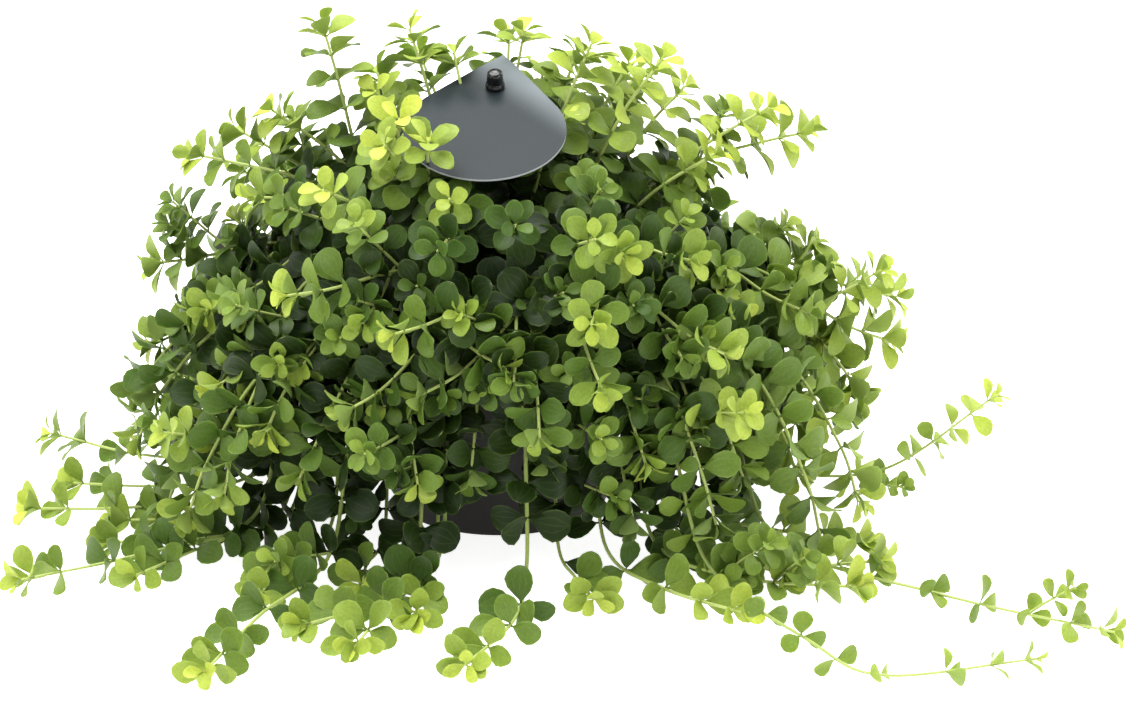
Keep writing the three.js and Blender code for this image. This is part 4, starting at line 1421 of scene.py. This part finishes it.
INFILL = {
    "crown": stems_of("""
        up -40 8 0 -90 17 185
        up 22 26 0 25 88 135
        up 70 30 0 77 86 150
        up 30 16 0 60 30 165
        up -120 24 0 -125 60 168
        up 130 14 0 130 40 178
        up -100 14 0 -80 48 172
        up 100 30 0 100 74 168
        up -20 14 0 -50 34 156
        up -60 34 0 -37 60 172 1.15
        up -36 34 0 -24 62 165 1.15
        up 150 20 0 150 34 168
        up 50 22 0 40 52 146
        up -30 20 0 -30 50 140
        up 10 24 0 10 56 132
    """),
    "left": stems_of("""
        arch -70 36 130 -72 98 136
        up -60 28 0 -64 88 134
        up -45 28 0 -47 88 148
        hang -78 40 106 -82 143 52
        hang -64 40 106 -66 120 44
        hang -90 40 106 -94 128 48
        hang -46 42 104 -46 120 60
        hang -84 44 104 -84 112 26
        hang -66 44 104 -70 138 14
        arch -66 36 118 -66 112 100
        arch -84 38 112 -78 122 88
        hang -60 44 102 -58 104 50
        hang -74 44 104 -76 100 30
        hang -40 44 102 -36 98 52
        hang -88 44 104 -92 106 40
        hang -54 42 104 -50 134 36
        hang -96 44 104 -98 126 62
        arch -50 40 112 -44 104 84
        hang -80 42 104 -88 122 16
    """),
    "front": stems_of("""
        arch -12 36 134 -14 87 132
        arch 12 40 112 -20 106 105
        hang -34 42 102 -41 113 42
        up 5 20 0 6 72 138
        arch -32 34 122 -30 98 104
        arch 8 36 112 4 104 88
        hang -4 44 102 -6 92 44
        hang 30 44 102 32 106 50
        arch 34 32 128 32 90 128
        arch 30 44 110 -16 102 80
        arch -40 42 110 2 100 92
        hang 24 42 102 12 90 50
        hang -18 44 102 -24 92 52
        arch 42 36 118 20 104 108
        hang 0 44 102 8 86 66
        hang 38 44 102 40 98 56
        hang 28 44 102 30 104 26
        arch -8 40 108 -34 98 70
    """),
    "right": stems_of("""
        hang 92 44 104 86 140 38
        arch 80 38 108 88 104 80
        arch 60 36 116 62 104 96
        hang 48 44 104 50 122 40
        hang 62 42 104 70 118 60
        arch 70 40 112 72 126 92
        hang 76 42 104 78 124 30
        hang 90 42 104 96 128 56
        arch 52 40 112 56 112 84
        hang 40 44 102 42 124 26
        hang 54 44 102 56 104 44
        hang 68 44 104 66 104 34
        hang 84 44 104 82 112 44
        hang 46 44 102 44 110 60
        arch 46 40 112 40 108 90
        hang 58 44 104 58 146 14
    """),
    "back": stems_of("""
        arch 122 40 106 121 124 60
        arch 150 36 128 148 96 148
        arch -170 30 130 -176 88 150
        arch -140 36 120 -140 112 100
        arch 112 38 106 110 108 68
        hang 160 42 104 160 124 60
        hang 128 44 104 130 140 48
        hang -166 44 104 -164 138 50
        hang -134 44 104 -136 126 50
        arch 178 40 112 178 120 96
        arch -108 38 110 -110 112 70
        hang 146 44 104 144 146 42
        hang 100 44 104 100 104 44
        hang 116 44 104 114 110 34
        hang 136 44 104 134 102 30
        hang 154 44 102 152 106 46
        hang 172 44 102 172 102 32
        hang -170 44 102 -174 108 40
        hang -148 44 102 -146 104 50
        hang -128 44 102 -128 102 30
        hang -110 44 102 -112 108 44
        arch 140 40 112 142 104 82
        arch -160 40 112 -158 104 84
    """),
    "trail": stems_of("""
        trail -34 44 102 -24 122 8
        trail -48 40 104 -37 146 8
        trail -56 42 102 -66 165 8
        trail -18 44 104 -17 170 8
        trail -68 44 104 -73 156 8
        trail -86 44 104 -86 172 10
        trail 48 44 104 48 150 8
        trail 62 44 104 64 158 8
        trail -16 44 104 -12 139 8
        trail -62 44 102 -54 168 8
        trail 34 44 102 51 174 8
    """),
}


@dataclass(frozen=True)
class Pot:
    """The plain round pot: a thin tapering wall, a rolled lip and a recessed foot."""

    wall: float = 1.6
    neck_radius: float = 59.2  # under the lip
    foot_width: float = 3.0
    foot_recess: float = 1.2
    segments: int = 128
    crease: float = 38.0

    def inner(self, height: float) -> float:
        """Gives the inside radius at a height."""
        return mix(BASE_RADIUS, self.neck_radius, height / NECK_HEIGHT) - self.wall

    def profile(self) -> list[tuple[float, float]]:
        """Gives the wall's outline from the middle of the underside round to the middle of the floor.

        Returns:
            Radius and height of each point in mm.
        """
        foot = BASE_RADIUS - self.foot_width
        underside = [
            (0.0, self.foot_recess),
            (foot - 2.2, self.foot_recess),
            (foot - 1.4, self.foot_recess - 0.3),
            (foot - 0.9, 0.25),
            (foot - 0.5, 0.0),
        ]
        foot_round = [
            (BASE_RADIUS - 1.4, 0.0),
            (BASE_RADIUS - 0.6, 0.25),
            (BASE_RADIUS - 0.15, 0.8),
        ]
        wall = [
            (mix(BASE_RADIUS, self.neck_radius, share), mix(1.5, NECK_HEIGHT - 1.2, share))
            for share in (0.0, 0.03, 0.25, 0.5, 0.75, 0.97, 1.0)
        ]
        lip = [
            (self.neck_radius + 0.4, NECK_HEIGHT - 0.4),
            (LIP_RADIUS - 0.6, NECK_HEIGHT),
            (LIP_RADIUS - 0.15, NECK_HEIGHT + 0.4),
            (LIP_RADIUS, NECK_HEIGHT + 1.0),
            (LIP_RADIUS, POT_HEIGHT - 1.4),
            (LIP_RADIUS - 0.3, POT_HEIGHT - 0.5),
            (LIP_RADIUS - 1.0, POT_HEIGHT),
            (LIP_RADIUS - 2.0, POT_HEIGHT),
            (LIP_RADIUS - 2.4, POT_HEIGHT - 0.3),
            (LIP_RADIUS - 2.5, POT_HEIGHT - 1.2),
        ]
        inside = [
            (self.inner(NECK_HEIGHT), NECK_HEIGHT - 1.0),
            (self.inner(60), 60.0),
            (self.inner(4), 4.0),
            (self.inner(3) - 1.0, 3.0),
            (0.0, 3.0),
        ]
        return [*underside, *foot_round, *wall, *lip, *inside]

    def build(self, finish: MouldedPlastic) -> bpy.types.Object:
        """Turns the outline and dresses the pot.

        Args:
            finish: The pot's plastic.

        Returns:
            The finished piece.
        """
        mesh = lathe("flower_pot", self.profile(), self.segments, self.crease)
        mesh.materials.append(finish.material())
        return carry(place_object("flower_pot", mesh), ["pot"])


def lathe(name: str, profile: Sequence[tuple[float, float]], segments: int, crease: float) -> bpy.types.Mesh:
    """Turns an outline round the Z axis into a closed mesh.

    Args:
        name: The mesh's name.
        profile: Radius and height in mm, from the axis round to the axis.
        segments: The number of faces round the axis.
        crease: The angle in degrees from which an edge stays hard.

    Returns:
        The mesh, smooth, with its hard corners kept.
    """
    made = bmesh.new()
    rings: list[list[bmesh.types.BMVert]] = []
    for radius, height in profile:
        count = segments if radius > 0 else 1
        rings.append([made.verts.new(polar(radius, 360 * n / count, height) * MM) for n in range(count)])
    for low, high in zip(rings, rings[1:]):
        for n in range(segments):
            after = (n + 1) % segments
            corners = [low[n % len(low)], low[after % len(low)], high[after % len(high)], high[n % len(high)]]
            made.faces.new(list(dict.fromkeys(corners)))
    return smooth_mesh(made, name, crease)


@dataclass(frozen=True)
class Soil:
    """The peat in the pot: a lumpy top with loose crumbs on it."""

    radius: float = 57.0
    depth: float = 12.0
    rings: int = 26
    segments: int = 96
    settled: float = 1.2  # mm that the top lies under its full height
    lump: float = 1.4  # mm that the lumps rise or sink
    lump_turns: float = 0.16  # lumps a mm
    grain_turns: float = 0.5  # small lumps a mm
    sunk_edge: float = 1.6  # mm that the rim lies lower
    crumbs: int = 420
    crumb_radius: float = 1.0
    crumb_least: Triple = (0.5, 0.4, 0.3)  # the smallest crumb beside a round one
    crumb_most: Triple = (2.0, 1.4, 0.9)  # and the largest
    seed: int = 11

    def height(self, spot: Vector) -> float:
        """Gives the soil's height at a spot, lower towards the wall."""
        rough = noise.noise(spot * self.lump_turns) * self.lump
        rough += noise.noise(spot * self.grain_turns) * self.lump * 0.4
        return SOIL_TOP - self.settled + rough - self.sunk_edge * (spot.length / self.radius) ** 6

    def build(self, finish: PottingPeat) -> bpy.types.Object:
        """Makes the lumpy top, its crumbs and its underside.

        Args:
            finish: The peat.

        Returns:
            The finished piece.
        """
        made = bmesh.new()
        middle = made.verts.new(Vector((0, 0, self.height(Vector((0.3, 0.2, 0))))) * MM)
        rows: list[list[bmesh.types.BMVert]] = []
        for ring in range(1, self.rings + 1):
            row = []
            for n in range(self.segments):
                spot = polar(self.radius * ring / self.rings, 360 * n / self.segments, 0)
                row.append(made.verts.new(Vector((spot.x, spot.y, self.height(spot))) * MM))
            rows.append(row)
        low = [made.verts.new(Vector((v.co.x, v.co.y, (SOIL_TOP - self.depth) * MM))) for v in rows[-1]]
        rows.append(low)
        for n in range(self.segments):
            after = (n + 1) % self.segments
            made.faces.new((middle, rows[0][n], rows[0][after]))
            for inner, outer in zip(rows, rows[1:]):
                made.faces.new((inner[n], outer[n], outer[after], inner[after]))
        made.faces.new(reversed(low))
        bed = place_object("potting_soil", smooth_mesh(made, "potting_soil"))
        values = {
            "Peat": finish.material(),
            "Crumbs a square metre": self.crumbs / (math.pi * (self.radius * MM) ** 2),
            "Crumb radius": self.crumb_radius * MM,
            "Least size": self.crumb_least,
            "Most size": self.crumb_most,
            "Seed": self.seed,
        }
        return carry(apply_tree(bed, self.crumb_tree(), values), ["soil"])

    def crumb_tree(self) -> bpy.types.NodeTree:
        """Builds the tree that scatters crumbs over the soil's top.

        Returns:
            The geometry node tree.
        """
        sockets = {
            "Bed": "Geometry",
            "Peat": "Material",
            "Crumbs a square metre": "Float",
            "Crumb radius": "Float",
            "Least size": "Vector",
            "Most size": "Vector",
            "Seed": "Int",
        }
        tree, given = blank_shape_tree("soil_crumbs", sockets, "Soil")
        facing = add_node(tree, "GeometryNodeInputNormal")
        rise = add_node(tree, "ShaderNodeSeparateXYZ", (facing,))
        upward = add_node(
            tree,
            "FunctionNodeCompare",
            {0: rise.outputs[2], 1: 0.5},
            data_type="FLOAT",
            operation="GREATER_THAN",
        )
        spots = add_node(
            tree,
            "GeometryNodeDistributePointsOnFaces",
            {
                "Mesh": given["Bed"],
                "Selection": upward,
                "Density": given["Crumbs a square metre"],
                "Seed": given["Seed"],
            },
        )
        lump = add_node(
            tree, "GeometryNodeMeshIcoSphere", {"Radius": given["Crumb radius"], "Subdivisions": 1}
        )
        turn_seed, size_seed = (
            add_node(tree, "ShaderNodeMath", (given["Seed"], float(step)), operation="ADD") for step in (1, 2)
        )
        turn, size = (
            add_node(
                tree,
                "FunctionNodeRandomValue",
                {0: least, 1: most, "Seed": seed},
                data_type="FLOAT_VECTOR",
            )
            for least, most, seed in (
                ((0.0, 0.0, 0.0), (math.tau, math.tau, math.tau), turn_seed),
                (given["Least size"], given["Most size"], size_seed),
            )
        )
        placed = add_node(
            tree,
            "GeometryNodeInstanceOnPoints",
            {"Points": spots, "Instance": lump, "Rotation": turn, "Scale": size},
        )
        real = add_node(tree, "GeometryNodeRealizeInstances", (placed,))
        joined = add_node(tree, "GeometryNodeJoinGeometry", (real,))
        tree.links.new(given["Bed"], joined.inputs[0])
        dressed = add_node(tree, "GeometryNodeSetMaterial", {0: joined, "Material": given["Peat"]})
        add_node(tree, "NodeGroupOutput", (dressed,))
        return tree


@dataclass(frozen=True)
class Label:
    """The drop-shaped card on its stake, held by a peg through its hole."""

    hole: Triple = (-1.0, -6.0, 172.3)
    lean: float = 21.0  # degrees that the stake leans
    turn: float = -7.3  # degrees that the card turns round it
    radius: float = 31.0  # of the round end
    drop: float = 27.0  # from the hole down to the middle of the round end
    point: float = 23.0  # from the hole up to the tip
    tip_half: float = 0.35
    tip_clear: float = 12.0  # how far beside the point leaves keep clear
    thickness: float = 0.8
    bend_radius: float = 160.0  # of the bend over the hole
    flat: float = 6.0  # how far above the hole the card starts to bend
    rows: int = 64
    round_rows: int = 42
    columns: int = 28
    clearance: float = 3.0  # mm that leaves stay off the card
    crease: float = 50.0
    peg_sides: int = 36
    peg_crease: float = 38.0

    def frame(self) -> Matrix:
        """Gives the place of the card's hole, with the stake's axis as Z, in mm."""
        leaned = Matrix.Translation(self.hole) @ Matrix.Rotation(math.radians(self.lean), 4, "X")
        return leaned @ Matrix.Rotation(math.radians(self.turn), 4, "Z")

    def droop(self, along: float) -> float:
        """Gives how far the card's point bends down at a distance from its hole."""
        return max(along - self.flat, 0.0) ** 2 / (2 * self.bend_radius)

    def outline(self) -> list[tuple[float, float]]:
        """Gives the right half of the card's outline from its lowest point to its tip.

        Returns:
            Half-width and distance along the card in mm, from low to high.
        """
        angle = math.asin(self.radius / (self.drop + self.point))
        points = []
        for row in range(self.round_rows):
            bearing = mix(-math.pi / 2, angle, row / (self.round_rows - 1))
            points.append((self.radius * math.cos(bearing), self.radius * math.sin(bearing) - self.drop))
        half, level = points[-1]
        for row in range(1, self.rows - self.round_rows + 1):
            share = row / (self.rows - self.round_rows)
            points.append((mix(half, 0.0, share), mix(level, self.point, share)))
        return [(max(half, self.tip_half), level) for half, level in points]

    def is_cut_by(self, start: Vector, end: Vector) -> bool:
        """Says whether a straight line in mm passes through the card or close to its edge.

        Args:
            start: Where the line starts.
            end: Where it ends.

        Returns:
            Whether it does.
        """
        back = self.frame().inverted()
        low, high = back @ start, back @ end
        over_low = low.z + self.droop(low.y)
        over_high = high.z + self.droop(high.y)
        if min(over_low, over_high) > self.clearance or max(over_low, over_high) < -self.clearance:
            return False
        wide = self.radius + self.clearance
        for share in (0.0, 0.25, 0.5, 0.75, 1.0):
            spot = low.lerp(high, share)
            in_round = math.hypot(spot.x, spot.y + self.drop) < wide
            near_tip = abs(spot.x) < self.tip_clear and -self.drop < spot.y < self.point + self.clearance
            if abs(spot.z + self.droop(spot.y)) < self.clearance * 1.5 and (in_round or near_tip):
                return True
        return over_low * over_high < 0 and math.hypot(low.x, low.y + self.drop) < wide

    def build_card(self, face: CardStock, edge: CardStock) -> bpy.types.Object:
        """Makes the bent card with its pale cut edge.

        Args:
            face: The card's coated face.
            edge: Its cut edge.

        Returns:
            The finished piece.
        """
        place = Matrix.Scale(MM, 4) @ self.frame()
        spread = [mix(-1, 1, n / self.columns) for n in range(self.columns + 1)]
        made = bmesh.new()
        rows: list[list[bmesh.types.BMVert]] = []
        below: list[list[bmesh.types.BMVert]] = []
        for half, level in self.outline():
            for sheet, lift in ((rows, self.thickness / 2), (below, -self.thickness / 2)):
                height = -self.droop(level) + lift
                sheet.append([made.verts.new(place @ Vector((u * half, level, height))) for u in spread])
        rims = []
        for sheet in (rows, below):
            for low, high in zip(sheet, sheet[1:]):
                for n in range(self.columns):
                    made.faces.new((low[n], low[n + 1], high[n + 1], high[n]))
            right = [row[-1] for row in sheet[1:]]
            left = [row[0] for row in reversed(sheet[1:-1])]
            rims.append([*sheet[0], *right, *reversed(sheet[-1][:-1]), *left])
        rim_up, rim_low = rims
        for n, (up, low) in enumerate(zip(rim_up, rim_low)):
            after = (n + 1) % len(rim_up)
            side = made.faces.new((up, rim_up[after], rim_low[after], low))
            side.material_index = 1
        mesh = smooth_mesh(made, "label_sheet", self.crease)
        for finish in (face, edge):
            mesh.materials.append(finish.material())
        return carry(place_object("label_sheet", mesh), ["label_card"])

    def build_stake(self, finish: MouldedPlastic) -> bpy.types.Object:
        """Makes the stake with its collar and the peg that holds the card.

        Args:
            finish: The stake's plastic.

        Returns:
            The finished piece.
        """
        stake = [(0.0, -128.0), (0.5, -127.4), (1.6, -120.0), (1.6, -3.7)]
        collar = [(3.4, -2.4), (3.9, -2.0), (4.0, -1.6), (4.0, -1.0), (3.8, -0.7), (1.6, -0.7), (1.6, 0.7)]
        head = [(3.4, 0.8), (3.7, 1.1), (3.8, 1.6), (3.6, 2.6), (3.2, 3.0), (3.1, 3.5), (3.25, 3.9)]
        top = [(3.05, 6.8), (2.8, 7.5), (2.3, 7.9), (1.5, 8.0), (1.2, 7.7), (0.0, 7.6)]
        mesh = lathe("label_peg", [*stake, *collar, *head, *top], self.peg_sides, self.peg_crease)
        mesh.transform(Matrix.Scale(MM, 4) @ self.frame() @ Matrix.Scale(1 / MM, 4))
        mesh.materials.append(finish.material())
        return carry(place_object("label_peg", mesh), ["label_stake"])


@dataclass(frozen=True)
class Lamp:
    """One large soft lamp that looks at the plant; its sizes are in metres and watts."""

    name: str
    place: Triple
    size: float
    power: float
    aim: Triple = (0.02, 0.0, 0.09)

    def build(self) -> None:
        """Makes the lamp."""
        data = bpy.data.lights.new(self.name, "AREA")
        data.size = self.size
        data.energy = self.power
        lamp = place_object(self.name, data)
        lamp.location = self.place
        beam = Vector(self.aim) - Vector(self.place)
        lamp.rotation_euler = beam.to_track_quat("-Z", "Y").to_euler()


LAMPS = (
    Lamp("top", (-0.15, 0.25, 1.6), 1.2, 40.0),
    Lamp("key", (-0.9, -0.9, 1.2), 0.9, 12.5),
    Lamp("right_back", (1.4, 0.8, 0.9), 1.1, 16.0),
    Lamp("right", (1.3, -0.7, 0.7), 0.8, 8.0),
    Lamp("left_back", (-1.4, 0.7, 0.8), 1.1, 10.0),
)


@dataclass(frozen=True)
class Studio:
    """A plain pale floor, soft white light all round and the camera."""

    target: Triple = (25.6, 0.0, 60.9)
    elevation: float = 20.0
    distance: float = 1300.0
    lens: float = 103.72
    floor_size: float = 9.0  # metres
    floor_tone: str = "#f6f6f6"
    floor_glow: float = 0.34  # what the floor gives the plant
    floor_seen: float = 0.87  # what the camera sees of its glow
    sky: float = 0.42
    sky_seen: float = 1.0

    def build(self) -> None:
        """Makes the floor, the lights and the camera."""
        self.build_floor()
        self.build_sky()
        for lamp in LAMPS:
            lamp.build()
        self.build_camera()

    def build_floor(self) -> None:
        """Makes the white paper floor, which glows a little as lit paper does."""
        material, tree = blank_material("white_paper_floor")
        seen = add_node(tree, "ShaderNodeLightPath").outputs["Is Camera Ray"]
        glow = add_node(tree, "ShaderNodeMapRange", (seen, 0.0, 1.0, self.floor_glow, self.floor_seen))
        shader = add_node(
            tree,
            "ShaderNodeBsdfPrincipled",
            {
                "Base Color": linear(self.floor_tone),
                "Roughness": 0.9,
                "Specular IOR Level": 0.2,
                "Emission Color": linear("#ffffff"),
                "Emission Strength": glow,
            },
        )
        add_node(tree, "ShaderNodeOutputMaterial", (shader,))
        made = bmesh.new()
        bmesh.ops.create_grid(made, x_segments=4, y_segments=4, size=self.floor_size / 2)
        mesh = bpy.data.meshes.new("floor")
        made.to_mesh(mesh)
        made.free()
        mesh.materials.append(material)
        place_object("floor", mesh)

    def build_sky(self) -> None:
        """Makes the white room round the plant."""
        world = bpy.data.worlds.new("white_room")
        bpy.context.scene.world = world
        world.use_nodes = True
        tree = world.node_tree
        tree.nodes.clear()
        seen = add_node(tree, "ShaderNodeLightPath").outputs["Is Camera Ray"]
        strength = add_node(tree, "ShaderNodeMapRange", (seen, 0.0, 1.0, self.sky, self.sky_seen))
        sky = add_node(tree, "ShaderNodeBackground", (linear("#ffffff"), strength))
        add_node(tree, "ShaderNodeOutputWorld", (sky,))

    def build_camera(self) -> None:
        """Makes the camera, which looks down at the plant from the front."""
        data = bpy.data.cameras.new("camera")
        data.lens = self.lens
        camera = place_object("camera", data)
        angle = math.radians(self.elevation)
        offset = Vector((0.0, -math.cos(angle), math.sin(angle))) * self.distance
        camera.location = (Vector(self.target) + offset) * MM
        camera.rotation_euler = (math.pi / 2 - angle, 0.0, 0.0)
        bpy.context.scene.camera = camera
        bpy.context.scene.view_settings.view_transform = "Standard"


def corners(box: tuple[Vector, Vector]) -> list[list[float]]:
    """Gives a box's two corners as plain lists of numbers."""
    return [[float(value) for value in corner] for corner in box]


def main() -> None:
    """Builds the plant, its pot and its label."""
    logging.basicConfig(level=logging.INFO, format="%(name)s: %(message)s")
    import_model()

    Studio().build()
    Pot().build(MouldedPlastic())
    Soil().build(PottingPeat())
    label = Label()
    label.build_card(
        # each card's last colour is its painted sheen; on the edge it is the worn colour
        CardStock("slate_card_face", "#22292b", "#293134", "#7b8386"),
        CardStock("slate_card_edge", "#a4a8aa", "#b9bdbf", "#b9bdbf", roughness=0.7),
    )
    label.build_stake(
        MouldedPlastic("gloss_black_polystyrene", "#0b0b0c", "#141415", 0.6, 20.0, roughness=(0.18, 0.34))
    )

    plant = Plant(Surroundings(label), LeafTissue().material(), StemTissue().material())
    seed = 1
    for group, stems in STEMS.items():
        for number, stem in enumerate(stems, 1):
            plant.piece(f"{group}_shoot_{number}", [stem], seed, [f"{group}_stem_{number}"])
            seed += 1
    for group, stems in INFILL.items():
        # infill in the mound's shade gets duller tips, as painted shade
        dullest = LIGHT_DULLEST if group in ("crown", "trail") else SHADE_DULLEST
        plant.piece(f"{group}_infill", stems, seed, dullest=dullest)
        seed += 1
    plant.clean_up()


if __name__ == "__main__":
    main()
